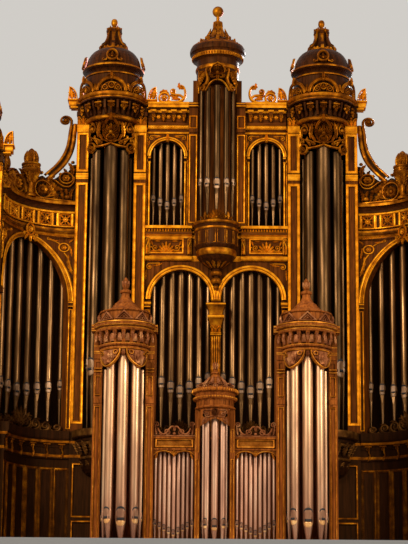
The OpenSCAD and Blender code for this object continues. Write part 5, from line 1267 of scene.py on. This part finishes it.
def wing_crest():
    """Leaf scrolls on the wing's cornice, with a swept double band up to the main tower."""
    deep = 0.035
    half = merge(
        ring((0.335, 0.235), 0.185, 0.045, 0.06, back=deep, steps=28),
        rosette((0.335, 0.235), 0.14, 0.07, 8, back=deep),
        scroll([(0.42, 0.025), (0.27, 0.02), (0.145, 0.04), (0.08, 0.11), (0.055, 0.21), (0.08, 0.33),
                (0.14, 0.42)],
               (0.205, 0.405), 0.055, 150, way=-1, turns=0.9, width=0.04, height=0.045, back=deep),
        leaf((0.45, 0.45), (0.71, 0.03), 0.24, 0.06, bend=-0.10, lobes=6, curl=0.03, back=deep),
        leaf((0.47, 0.44), (0.60, 0.06), 0.17, 0.055, bend=-0.16, lobes=5, curl=0.03, back=deep),
        leaf((0.50, 0.47), (0.76, 0.26), 0.17, 0.055, bend=-0.16, lobes=5, curl=0.03, back=deep),
        band(smooth([(0.47, 0.50), (0.60, 0.46), (0.70, 0.385), (0.78, 0.345), (0.87, 0.36), (0.925, 0.45),
                     (0.93, 0.56)], 5), 0.034, 0.04, back=deep),
        ring((0.80, 0.53), 0.118, 0.036, 0.05, back=deep), rosette((0.80, 0.53), 0.088, 0.055, 6, back=deep),
        leaf((0.90, 0.60), (0.83, 0.86), 0.12, 0.045, bend=-0.16, curl=0.03, back=deep),
        leaf((0.80, 0.62), (0.755, 0.74), 0.08, 0.035, bend=-0.1, back=deep),
        dome((0.905, 0.885), 0.03, 0.04, back=deep),
        dome((0.83, 0.12), 0.052, 0.055, back=deep),
        leaf((0.80, 0.30), (0.825, 0.17), 0.08, 0.035, back=deep),
        leaf((0.75, 0.24), (0.77, 0.05), 0.07, 0.035, bend=-0.1, back=deep),
        leaf((0.93, 0.31), (0.90, 0.06), 0.09, 0.04, bend=-0.12, back=deep),
        leaf((0.70, 0.32), (0.74, 0.16), 0.06, 0.035, back=deep),
        leaf((0.18, 0.47), (0.27, 0.56), 0.08, 0.035, bend=0.15, back=deep),
        leaf((0.27, 0.40), (0.43, 0.44), 0.09, 0.035, bend=0.2, back=deep),
        leaf((0.02, 0.03), (0.035, 0.46), 0.13, 0.045, bend=-0.04, lobes=6, curl=0.03, back=deep),
        leaf((0.03, 0.05), (0.14, 0.60), 0.13, 0.045, bend=-0.10, lobes=6, curl=0.03, back=deep),
        dome((0.04, 0.10), 0.045, 0.06, back=deep), dome((0.70, 0.62), 0.026, 0.04, back=deep),
        band([(0.0, 0.022), (0.965, 0.022)], 0.044, 0.03, back=deep))
    swept = merge(
        band(smooth(THICK_BAND, 4), 0.074, 0.05, back=deep),
        band(smooth(THIN_BAND, 4), 0.052, 0.045, back=deep),
        scroll([(-0.862, 1.60)], (-0.768, 1.79), 0.105, 195, way=-1, turns=1.5, width=0.05, height=0.055,
               eye=0.4, back=deep),
        leaf((-0.60, 0.58), (-0.38, 0.40), 0.13, 0.05, lobes=4, curl=0.03, back=deep),
        dome((-0.32, 0.595), 0.034, 0.05, back=deep), dome((-0.46, 0.43), 0.045, 0.06, back=deep))
    return merge(winged(merge(mirrored(half), swept), z=wing_h),
                 winged(mirrored(scroll([(0.36, 0.035), (0.46, 0.085), (0.54, 0.11)], (0.60, 0.065), 0.052,
                                        110, way=-1, turns=1.2, width=0.045, height=0.04, back=0.03)),
                        z=wing_h, out=0.05))


carve("wing_crest_carving", wing_crest(), shaded_gold, PAIR, ["wing_crests"])

# A dark sheet behind the wing crest and between its swept bands: painted shade in the openwork
shade_sheet_top = [(-0.965, 0.86), (-0.90, 0.84), (-0.82, 0.68), (-0.74, 0.66), (-0.60, 0.53), (-0.46, 0.50),
              (-0.34, 0.56), (-0.18, 0.47), (-0.09, 0.55), (0.0, 0.50)]
shade_sheet_top = np.array(shade_sheet_top + [(-u, v) for u, v in shade_sheet_top[-2::-1]]) - (0, 0.02)
between = (np.array(THICK_BAND[:9]) + np.array(THIN_BAND)) / 2
carve("wing_crest_ground", winged(merge(
    curtain(smooth(shade_sheet_top, 5), -0.02, -0.045), band(smooth(between, 4), 0.06, 0.0, back=0.03)), z=wing_h),
    crest_shade_sheet, PAIR)


def wing_urn():
    """A crown shaped urn: pearled bands on a leafy cup, and a low bud of leaves on top."""
    cup = lathe([(0.10, 0.735), (0.165, 0.712), (0.198, 0.7), (0.202, 0.672), (0.185, 0.655), (0.176, 0.65),
                 (0.176, 0.587), (0.2, 0.577), (0.212, 0.548), (0.19, 0.515), (0.165, 0.495), (0.11, 0.44),
                 (0.07, 0.38), (0.055, 0.22), (0.068, 0.085), (0.115, 0.04), (0.12, 0.0)], 32)
    bud = lathe([(0.02, 1.035), (0.06, 1.0), (0.105, 0.93), (0.132, 0.86), (0.138, 0.80), (0.13, 0.74),
                 (0.11, 0.69)], 48, 0.16, 8)
    leaves = [turned(leaf((0, 0.0), (0, 0.27), 0.11, 0.035, lobes=5, curl=-0.05), 0.125, 0.71,
                     angle=45 * i + 22, lean=0.03) for i in range(8)]
    calyx = [turned(leaf((0, 0.0), (0, 0.22), 0.095, 0.03, curl=0.02), 0.065, 0.29, angle=45 * i, lean=0.45)
             for i in range(8)]
    pearls = [turned(dome((0, 0), 0.022, 0.024, 8), 0.174, 0.618, angle=20 * i) for i in range(18)]
    return merge(cup, bud, *leaves, *calyx, *pearls)


urn_reach = (wing_r - 0.08) * math.sqrt(0.5)
carve("wing_urn_carving", moved(wing_urn(), tower_outer + urn_reach, wing_y + urn_reach, wing_h), shaded_gold,
      PAIR, ["wing_urns"])


def foot_crest(half, h):
    """Openwork leaf scrolls before the pipe feet, highest in the middle."""
    deep = 0.02
    parts = [band([(0.0, 0.02), (half, 0.02)], 0.04, 0.02, back=deep)]
    for i in range(4):
        r = h * (0.30 - 0.048 * i)
        u = half * (0.16 + 0.235 * i)
        parts += [
            scroll([(u - 0.2 * h, 0.05), (u - 0.1 * h, 0.03)], (u, r + 0.03), 0.86 * r, 270, turns=1.3,
                   width=0.1 * h, height=0.03, eye=0, back=deep),
            rosette((u, r + 0.03), 0.36 * r, 0.035, 5, back=deep),
            leaf((u - 0.4 * r, 1.5 * r), (u + 0.9 * r, 2.05 * r), 0.6 * r, 0.03, bend=0.2, curl=0.02,
                 back=deep),
            leaf((u + 0.5 * r, 0.04), (u + 1.1 * r, 1.5 * r), 0.4 * r, 0.025, bend=-0.1, back=deep)]
    middle = merge(palmette((0, 0.30 * h), 0.68 * h, 7, 130, 0.035, slim=1.1, back=deep, curl=0.03),
                   ring((0, 0.26 * h), 0.11 * h, 0.03, 0.04, back=deep, steps=16),
                   dome((0, 0.26 * h), 0.06 * h, 0.05, back=deep))
    return merge(mirrored(merge(*parts)), middle)


carve("foot_crest_carving", merge(
    winged(foot_crest(wing_arch_r - 0.01, 0.5), z=base_h, out=-0.03),
    flat(foot_crest(arch_r - 0.01, 0.3), 0.0, x=arch_x, z=base_h)), deep_shade_carving, PAIR,
    ["foot_carvings"])


# Frames and brackets on the closed bases

base_face = -0.2
panel_rows = ((0.35, 1.33), (1.39, base_h - 0.64))
bracket_h = base_h - 0.29


def base_frames(x0, x1):
    """Gilt frames round the sunk panels of a base, two bays wide."""
    bay = (x1 - x0) / 2
    return merge(*(frame_of(x0 + i * bay + 0.06, x0 + (i + 1) * bay - 0.06, z0, z1, 0.034, 0.014)
                   for i in range(2) for z0, z1 in panel_rows))


base_bracket = merge(
    scroll([(0.0, -0.26), (0.03, -0.16), (0.01, -0.09)], (0.0, -0.035), 0.04, 60, turns=1.1, width=0.03,
           height=0.04),
    scroll([(0.01, -0.17)], (-0.01, -0.245), 0.03, 60, way=-1, turns=1.0, width=0.026, height=0.035),
    band([(-0.07, 0.02), (0.07, 0.02)], 0.04, 0.05))
wing_base_face = wing_r - 0.18
carve("base_panel_frames", merge(
    flat(base_frames(0, tower_inner), base_face), flat(base_frames(tower_inner, tower_outer), base_face),
    flat(base_frames(outer_x - tower_half, outer_x + tower_half), outer_y + base_face)), shaded_gold,
      PAIR)
row("base_brackets", [across(0.18, tower_inner - 0.18, base_face, bracket_h)], base_bracket,
    (tower_inner - 0.36) / 4, shaded_gold, PAIR)
wing_step = wing_r * math.pi / 12
wing_spacing = wing_step * wing_base_face / wing_r
wing_panel = merge(frame_of(-0.15, 0.15, -1.05, 1.05, 0.032, 0.016),
                   frame_of(-0.11, 0.11, -1.01, 1.01, 0.012, 0.01))
row("wing_base_panels", [wing_round(2.5 * wing_step, wing_r - wing_base_face, 1.33)],
    wing_panel, wing_spacing, shaded_gold, PAIR)
row("wing_base_brackets", [wing_round(2.5 * wing_step, wing_r - wing_base_face, bracket_h)],
    base_bracket, wing_spacing, shaded_gold, PAIR)

corbel_leaf = leaf((0, 0), (0, 0.26), 0.15, 0.03, lobes=5, curl=0.04)
carve("tower_corbel_leaves", merge(
    *(turned(corbel_leaf, 0.40, base_h - 0.88, angle=20 * i, lean=0.55) for i in range(-4, 5)),
    *(turned(corbel_leaf, 0.56, base_h - 0.50, angle=16 * i + 8, lean=0.42) for i in range(-5, 5))),
    deep_shade_carving, MAIN_TOWERS)


# Pipe mouths. Each lip is made for a pipe of width d over a foot of its own length

def upper_lip(d, foot):
    """The flat pressed into a pipe over its mouth, set out from the pipe's axis."""
    r = d / 2
    flat_r, skin = 0.8 * r, 0.003
    rows = []
    for t in np.linspace(0, 1, 9):
        face = flat_r + (r - flat_r) * 0.62 * t
        edge = math.acos(face / r)
        side = max(edge + 0.03, 1.35 * math.sqrt(1 - t ** 7))
        a = np.array([side, (side + edge) / 2, edge, 0, -edge, -(side + edge) / 2, -side])
        u, w = (r + skin) * np.sin(a), (r + skin) * np.cos(a)
        w[3] = w[2]
        high = (0.22 + 0.93 * t) * d
        rows.append([(p, high, q) for p, q in ((u[0], w[0] - 0.01), *zip(u, w), (u[-1], w[-1] - 0.01))])
    ear = band([(0.72 * r, -0.12 * d), (0.72 * r, 0.38 * d)], 0.012, 0.26 * r, STEM, back=0.0)
    return merge(loft(rows), mirrored(moved(ear, z=0.74 * r)))


def mouth_shadow(d, foot):
    """Painted shadow: the dark mouth, and a dark band arching over the flat, thickest at its crown."""
    r = d / 2
    path = arc((0, 0.8 * d), 0.98 * r, 4, 176, 14, 0.75)
    width = 0.06 * d + 0.15 * d * np.sin(np.linspace(0, math.pi, 15))
    slit = band([(u, 0.1 * d) for u in np.linspace(-0.98 * r, 0.98 * r, 9)], 0.2 * d, 0.004, back=0.004)
    return wrapped(merge(band(path, width, 0.006, back=0.004), slit), r)


def lower_lip(d, foot):
    """The lip under a pipe's mouth, wrapped round its foot and rounded off below."""
    r = d / 2
    half, low = 1.1 * r, -min(0.58 * d, 0.25 * foot)
    outline = [(half, -0.015), (0, -0.015), (-half, -0.015), (-half, 0.5 * low), (-0.66 * half, 0.86 * low),
               (0, low), (0.66 * half, 0.86 * low), (half, 0.5 * low)]
    return wrapped(pillow(outline, 0.008, back=0.012), r, 0.2 / (0.263 * foot))


def pipe_row(lip, widths, feet, foot_h, r, turn, y=0.0):
    """Lips of the pipes before a tower, the middle one and then those at its sides: widths and
    lengths of their feet, the radius of their row and the degrees from one to the next."""
    return merge(*(swung(lip(d, foot), r, foot_h + foot, y, s * i * turn)
                   for i, (d, foot) in enumerate(zip(widths, feet)) for s in ((1, -1) if i else (1,))))


def pipe_field(lip, count, d, d_fall, foot, foot_rise, z, y, x, step):
    """Lips of the pipes in one arch: widths fall and feet grow from the middle pipe outwards."""
    half = count // 2
    return [swung(lip(d - d_fall * abs(k), foot + foot_rise * abs(k)), 0, z + foot_rise * abs(k), y,
                  x=x + k * step) for k in range(-half, half + 1)]


tower_foot = base_h + 0.05
turret_foot = shelf_h + 0.011
plinth_h = 0.45
front_foot = 0.437
field_y = 0.135
flat_half = (front_inner - front_post_outer) / 2
front_flat_x = (front_inner + front_post_outer) / 2

# The pipes as the case holds them, from the middle pipe of each row or field outwards
main_row = {"widths": (0.28, 0.205, 0.15), "feet": (1.002, 1.186, 1.31), "foot_h": tower_foot, "r": 0.395,
            "turn": 44.7}
turret_row = {"widths": (0.131, 0.11, 0.095), "feet": (0.75, 0.789, 0.849), "foot_h": turret_foot, "r": 0.36,
              "turn": 32, "y": turret_y}
front_row = {"widths": (0.192, 0.166, 0.125), "feet": [front_foot + m for m in (0, 0.043, 0.073)],
             "foot_h": plinth_h, "r": 0.331, "turn": 43.1}
front_turret_row = {"widths": (0.125, 0.107, 0.095),
                    "feet": [front_foot + m for m in (-0.093, -0.057, -0.027)],
                    "foot_h": plinth_h, "r": 0.205, "turn": 44.2, "y": front_y}
low_field = {"count": 7, "d": 0.15, "d_fall": 0.009, "foot": 0.829, "foot_rise": 0.1, "z": base_h + 0.829,
             "y": field_y, "x": arch_x, "step": 2 * arch_r / 6.55}
high_field = {"count": 5, "d": 0.1, "d_fall": 0.003, "foot": 0.468, "foot_rise": 0.075, "z": shelf_h + 0.468,
              "y": field_y, "x": upper_x, "step": 2 * upper_arch_r / 4.75}
front_field = {"count": 9, "d": 0.07, "d_fall": 0.0, "foot": 0.24, "foot_rise": 0.045,
               "z": plinth_h + 0.55 * front_foot, "y": front_y + 0.085, "x": front_flat_x,
               "step": 2 * flat_half / 8.9}
wing_foot, wing_foot_rise = 0.78, 0.046
for lip, part, main_finish, front_finish in ((upper_lip, "upper_lips", lip_highlight_tin, front_tin),
                                             (mouth_shadow, "lip_arches", shadow_tin, shadow_tin),
                                             (lower_lip, "lower_lips", lip_highlight_tin, front_lip_highlight_tin)):
    carve("main_tower_pipe_" + part, pipe_row(lip, **main_row), main_finish,
          MAIN_TOWERS + OUTER_FEET)
    carve("turret_pipe_" + part, pipe_row(lip, **turret_row), main_finish)
    wing_field = [swung(lip(0.16 - 0.01 * abs(i), wing_foot + wing_foot_rise * abs(i)), -wing_r - 0.205,
                        base_h + wing_foot + wing_foot_rise * abs(i), wing_y, -45 - 9 * i, tower_outer)
                  for i in range(-4, 5)]
    carve("flat_pipe_" + part, merge(*pipe_field(lip, **low_field), *pipe_field(lip, **high_field),
                                     *wing_field), main_finish, PAIR)
    carve("front_tower_pipe_" + part, pipe_row(lip, **front_row), front_finish, FRONT_TOWERS)
    carve("front_turret_pipe_" + part, pipe_row(lip, **front_turret_row), front_finish)
    carve("front_flat_pipe_" + part, merge(*pipe_field(lip, **front_field)), front_finish, PAIR)


# Front case

mantle_r = 0.447
frieze_r = 0.462
front_bracket_r = 0.535
front_turn = 18
front_post_x = 0.481
turret_drum_r = 0.312
MANTLE = [(0.45, 0.0), (0.25, 0.0), (0.06, 0.0), (0.065, -0.07), (0.12, -0.18), (0.20, -0.262), (0.27, -0.3),
          (0.335, -0.305), (0.40, -0.26), (0.448, -0.17), (0.462, -0.08)]
mantle = merge(
    pillow(MANTLE, 0.025, back=0.012), leaf((0.30, -0.01), (0.315, -0.29), 0.24, 0.075, lobes=3, curl=0.03),
    leaf((0.19, -0.03), (0.225, -0.24), 0.13, 0.06, bend=-0.1, lobes=3),
    leaf((0.405, -0.05), (0.385, -0.23), 0.10, 0.055, bend=0.1, lobes=3))
mantle_rim = merge(
    band(smooth(MANTLE[2:], 5), 0.036, 0.06, back=0.012), ring((0.135, -0.055), 0.036, 0.022, 0.06, steps=14),
    scroll([(0.44, -0.07)], (0.41, -0.085), 0.04, 20, turns=1.1, width=0.022, height=0.055))
carve("front_shade_mantles", turned(merge(
    mirrored(mantle), leaf((0, 0.0), (0, -0.125), 0.12, 0.055, lobes=3, back=0.012)), mantle_r,
                                    front_tower_h),
      front_carved, FRONT_TOWERS, ["front_tower_shades"])
carve("front_shade_rims", turned(merge(
    mirrored(mantle_rim), band([(-0.47, -0.012), (0.47, -0.012)], 0.034, 0.03, back=0.012)), mantle_r,
                                 front_tower_h),
      front_gilt, FRONT_TOWERS)
niche = pillow([(0.044, -0.085), *arc((0, 0.02), 0.044, 0, 180, 8), (-0.044, -0.085)], 0.024, back=0.02)
row("front_frieze_niches", [around(frieze_r, front_tower_h + 0.245, 3.5 * front_turn)], niche,
    frieze_r * math.radians(front_turn), front_carved, FRONT_TOWERS)
row("front_bracket_leaves", [around(front_bracket_r, front_tower_h + 0.31, 4 * front_turn)],
    leaf((0, 0.02), (0, -0.14), 0.075, 0.03, lobes=3, curl=0.02), front_bracket_r * math.radians(front_turn),
    front_carved, FRONT_TOWERS)
gable = merge(band([(-0.15, 0.012), (0, 0.158), (0.15, 0.012)], 0.034, 0.022),
              band([(-0.08, 0.03), (0, 0.1), (0.08, 0.03)], 0.016, 0.012), dome((0, 0.045), 0.02, 0.02),
              band([(-0.165, 0.01), (0.165, 0.01)], 0.024, 0.024))
bud = lathe([(0.004, 0.20), (0.02, 0.18), (0.033, 0.14), (0.03, 0.10), (0.016, 0.075), (0.03, 0.062),
             (0.032, 0.045), (0.018, 0.035), (0.04, 0.018), (0.042, 0.0)], 20, 0.12, 5)
front_roof = lathe([
    (0.004, 0.94), (0.03, 0.915), (0.055, 0.855), (0.066, 0.785), (0.055, 0.73), (0.045, 0.71),
    (0.06, 0.695), (0.10, 0.68), (0.108, 0.655), (0.10, 0.632), (0.075, 0.62), (0.078, 0.58), (0.095, 0.53),
    (0.13, 0.48), (0.17, 0.44), (0.2, 0.42), (0.2, 0.405), (0.225, 0.385), (0.245, 0.357), (0.245, 0.345),
    (0.29, 0.32), (0.35, 0.288), (0.42, 0.26), (0.475, 0.242), (0.484, 0.228), (0.475, 0.214),
    (0.45, 0.208), (0.45, 0.0)], 56)
carve("front_roof_turning", moved(front_roof, z=front_top), front_oak, FRONT_TOWERS,
      ["front_tower_roofs"])
knob_leaves = [turned(leaf((0, 0), (0, 0.13), 0.06, 0.02, lobes=3, curl=0.01), 0.042, front_top + 0.73,
                      angle=60 * i, lean=0.16) for i in range(6)]
carve("front_roof_carving", merge(
    *(swung(gable, frieze_r, front_top + 0.04, angle=45 * i) for i in range(8)), *knob_leaves,
    *(moved(bud, s * front_post_x, -0.09, front_top) for s in (-1, 1))), front_carved,
      FRONT_TOWERS)
post_frames = merge(
    frame_of(-0.058, 0.058, plinth_h + 0.14, front_tower_h - 1.0, 0.02, 0.012),
    frame_of(-0.058, 0.058, front_tower_h - 0.80, front_tower_h - 0.43, 0.02, 0.012),
    *(band([(-0.075, front_tower_h + v), (0.075, front_tower_h + v)], 0.032, 0.026)
      for v in (-0.30, -0.355, -0.02)))
carve("front_pilaster_frames", merge(*(flat(post_frames, -0.1, x) for x in (-front_post_x, front_post_x))),
      front_gilt, FRONT_TOWERS)

ribs = [band([(-flat_half + 0.075, v), (flat_half - 0.075, v)], 0.010, 0.006, back=0.0)
        for v in np.arange(front_arch_h + 0.115, front_arch_h + 0.21, 0.019)]
heads = merge(
    frame_of(-flat_half + 0.03, flat_half - 0.03, front_arch_h + 0.075, front_arch_h + 0.245, 0.036, 0.02),
    moved(merge(*ribs), z=-0.012),
    mirrored(merge(
        band(arc((flat_half / 2, front_arch_h - flat_half / 2 - 0.06), flat_half / 2 + 0.072, 44, 136), 0.022,
             0.016),
        leaf((0.30, front_arch_h - 0.02), (0.355, front_arch_h - 0.16), 0.05, 0.02))),
    leaf((0, front_arch_h + 0.02), (0, front_arch_h - 0.11), 0.07, 0.025, curl=0.01),
    ring((0, front_arch_h - 0.015), 0.028, 0.014, 0.025, steps=12))
carve("front_head_frames", flat(heads, front_y - 0.042, front_flat_x), front_gilt, PAIR)


def front_crest():
    """Waved crest with a hollow heart in its middle and a volute on a post at either end."""
    deep = 0.03
    side = merge(
        scroll([(0.015, 0.19), (0.06, 0.185), (0.10, 0.14)], (0.118, 0.085), 0.058, 40, way=-1, turns=1.2,
               width=0.03, height=0.022, back=deep),
        band(smooth([(0.09, 0.15), (0.16, 0.06), (0.22, 0.05), (0.275, 0.10), (0.30, 0.16)], 5), 0.034, 0.022,
             back=deep),
        scroll([(flat_half - 0.05, 0.04), (flat_half - 0.035, 0.12), (flat_half - 0.03, 0.2)],
               (flat_half - 0.055, 0.225), 0.05, 0, turns=1.25, width=0.03, height=0.024, back=deep),
        frame_of(flat_half - 0.072, flat_half - 0.008, 0.03, 0.18, 0.018, 0.02, back=deep),
        leaf((0.19, 0.03), (0.29, 0.06), 0.06, 0.02, back=deep),
        leaf((0.06, 0.03), (0.17, 0.035), 0.04, 0.02, back=deep))
    return merge(mirrored(side), leaf((0, 0.10), (0, 0.205), 0.07, 0.03, curl=0.01, back=deep),
                 dome((0, 0.055), 0.03, 0.03, back=deep),
                 band([(-flat_half, 0.015), (flat_half, 0.015)], 0.03, 0.02, back=deep))


carve("front_crest_carving", flat(front_crest(), front_y - 0.012, front_flat_x, front_arch_h + 0.278),
      front_carved, PAIR, ["front_crests"])

apron = merge(
    ring((0, -0.09), 0.055, 0.024, 0.03, HOLLOW, tall=1.2, steps=20), palmette((0, -0.13), 0.08, 3, 80, 0.03),
    leaf((0, -0.15), (0, -0.205), 0.05, 0.025),
    mirrored(merge(
        scroll([(0.04, -0.15), (0.09, -0.16)], (0.145, -0.12), 0.05, 270, turns=1.2, width=0.022,
               height=0.022),
        scroll([(0.05, -0.05), (0.11, -0.04)], (0.20, -0.075), 0.04, 90, way=-1, turns=1.1, width=0.02,
               height=0.02),
        leaf((0.20, -0.17), (0.26, -0.29), 0.07, 0.022), leaf((0.15, -0.19), (0.20, -0.26), 0.05, 0.02))),
    band([(-0.30, -0.01), (0.30, -0.01)], 0.02, 0.02))
knob_flower = merge(rosette((0, 0), 0.058, 0.04), mirrored(scroll(
    [(0.03, 0.05)], (0.085, 0.045), 0.03, 180, way=-1, turns=1.1, width=0.018, height=0.03)))
turret_knob = front_turret_h + 0.385
carve("front_turret_carving", merge(
    turned(apron, 0.332, front_turret_h, front_y),
    *(turned(knob_flower, turret_drum_r, turret_knob + 0.025, front_y, angle=36 * i) for i in range(-2, 3)),
    *(turned(leaf((0, 0), (0, 0.2), 0.12, 0.02, lobes=5), 0.28, turret_knob + 0.045, front_y,
             angle=36 * i + 18, lean=-0.85) for i in range(10)),
    *(turned(leaf((0, 0), (0, 0.11), 0.05, 0.016, lobes=3), 0.034, turret_knob + 0.39, front_y, angle=60 * i,
             lean=0.12) for i in range(6))), front_carved)
row("front_turret_pearls", [around(0.397, front_turret_h + 0.208, 175, front_y)],
    dome((0, 0), 0.018, 0.016, 8), 0.05, front_gilt)
row("front_turret_tongues", [around(0.418, front_turret_h + 0.345, 175, front_y)],
    leaf((0, -0.03), (0, 0.03), 0.04, 0.016, lobes=2), 0.055, front_gilt)
narrow_x = (0.275 + front_post_outer) / 2
narrow_rows = ((plinth_h + 0.09, front_arch_h - 0.14), (front_arch_h - 0.02, front_turret_h - 0.35))
narrow_frames = [frame_of(s * narrow_x - 0.032, s * narrow_x + 0.032, z0, z1, 0.014, 0.008)
                 for s in (-1, 1) for z0, z1 in narrow_rows]
carve("front_post_frames", flat(merge(*narrow_frames), front_y - 0.1), front_gilt)


# Stage, light and camera

def plain_finish(name, code, rough):
    """Matt painted floor: one pale tone with a faint cloudiness."""
    material, tree, skin = new_finish(name)
    place = add(tree, "ShaderNodeTexCoord").outputs["Object"]
    cloud = add(tree, "ShaderNodeTexNoise", {"Vector": place, "Scale": per_metre(FLOOR_CLOUD)}).outputs[0]
    tone = ramp(tree, cloud, [(0.3, 0.95), (0.7, 1.0)])
    tree.links.new(mix(tree, 1.0, code, tone, "MULTIPLY"), skin.inputs["Base Color"])
    skin.inputs["Roughness"].default_value = rough
    return material


floor_mesh = bpy.data.meshes.new("floor")
floor_mesh.from_pydata([(-16, -9, 0), (16, -9, 0), (16, 9, 0), (-16, 9, 0)], [], [(0, 1, 2, 3)])
floor_mesh.materials.append(plain_finish("pale_matt_floor", "#D8D4CE", 0.8))
floor = bpy.data.objects.new("floor", floor_mesh)
bpy.context.scene.collection.objects.link(floor)

# The camera stands low before the middle and looks up, as the photograph does
IMAGE_W, IMAGE_H = 408, 544
FOCAL_PX = 2000
AXIS_PX = 216.5
CAMERA_AWAY, CAMERA_Z = 40.0, -3.48
LOOK_UP, ROLL = 14, 0.5
camera_data = bpy.data.cameras.new("camera")
camera_data.sensor_fit = "AUTO"
camera_data.lens = camera_data.sensor_width * FOCAL_PX / IMAGE_H
camera_data.clip_end = 200
camera = bpy.data.objects.new("camera", camera_data)
camera.matrix_world = (
    Matrix.Translation((0, -CAMERA_AWAY, CAMERA_Z))
    @ Matrix.Rotation(math.atan((AXIS_PX - IMAGE_W / 2) / FOCAL_PX), 4, "Z")
    @ Matrix.Rotation(math.radians(90 + LOOK_UP), 4, "X")
    @ Matrix.Rotation(math.radians(ROLL), 4, "Z"))
bpy.context.scene.collection.objects.link(camera)
bpy.context.scene.camera = camera


def lamp(name, place, aim, power, size):
    """A soft square lamp that faces a point."""
    data = bpy.data.lights.new(name, "AREA")
    data.energy = power
    data.size = size
    lamp_object = bpy.data.objects.new(name, data)
    bpy.context.scene.collection.objects.link(lamp_object)
    away = np.array(place, float) - np.array(aim, float)
    turn = math.atan2(away[0], -away[1])
    tilt = math.atan2(math.hypot(away[0], away[1]), away[2])
    lamp_object.matrix_world = (Matrix.Translation(place) @ Matrix.Rotation(turn, 4, "Z")
                                @ Matrix.Rotation(tilt, 4, "X"))


# Each lamp's place, the point that it faces, its watts and its width
lamp("left_key", (-11, -17, 13), (0, 0, 6.5), 3600, 5)
lamp("right_fill", (12, -15, 9), (0, 0, 6.0), 1800, 5)
lamp("back_fill", (6, 14, 14), (0, 2, 6), 2600, 6)

# A pale room, seen and mirrored brighter than it lights
world = bpy.data.worlds.new("studio")
world.use_nodes = True
air = world.node_tree
backdrop = air.nodes["Background"]
rays = add(air, "ShaderNodeLightPath")
seen = add(air, "ShaderNodeMath", {0: rays.outputs["Is Camera Ray"], 1: rays.outputs["Is Glossy Ray"]},
           operation="MAXIMUM").outputs[0]
seen = add(air, "ShaderNodeMath", {0: seen, 1: rays.outputs["Is Transmission Ray"]},
           operation="MAXIMUM").outputs[0]
strength = add(air, "ShaderNodeMapRange", {"Value": seen, "To Min": 0.45, "To Max": 0.8}).outputs[0]
backdrop.inputs["Color"].default_value = rgba("#E6E2DC")
air.links.new(strength, backdrop.inputs["Strength"])
bpy.context.scene.world = world
bpy.context.scene.view_settings.view_transform = "Standard"
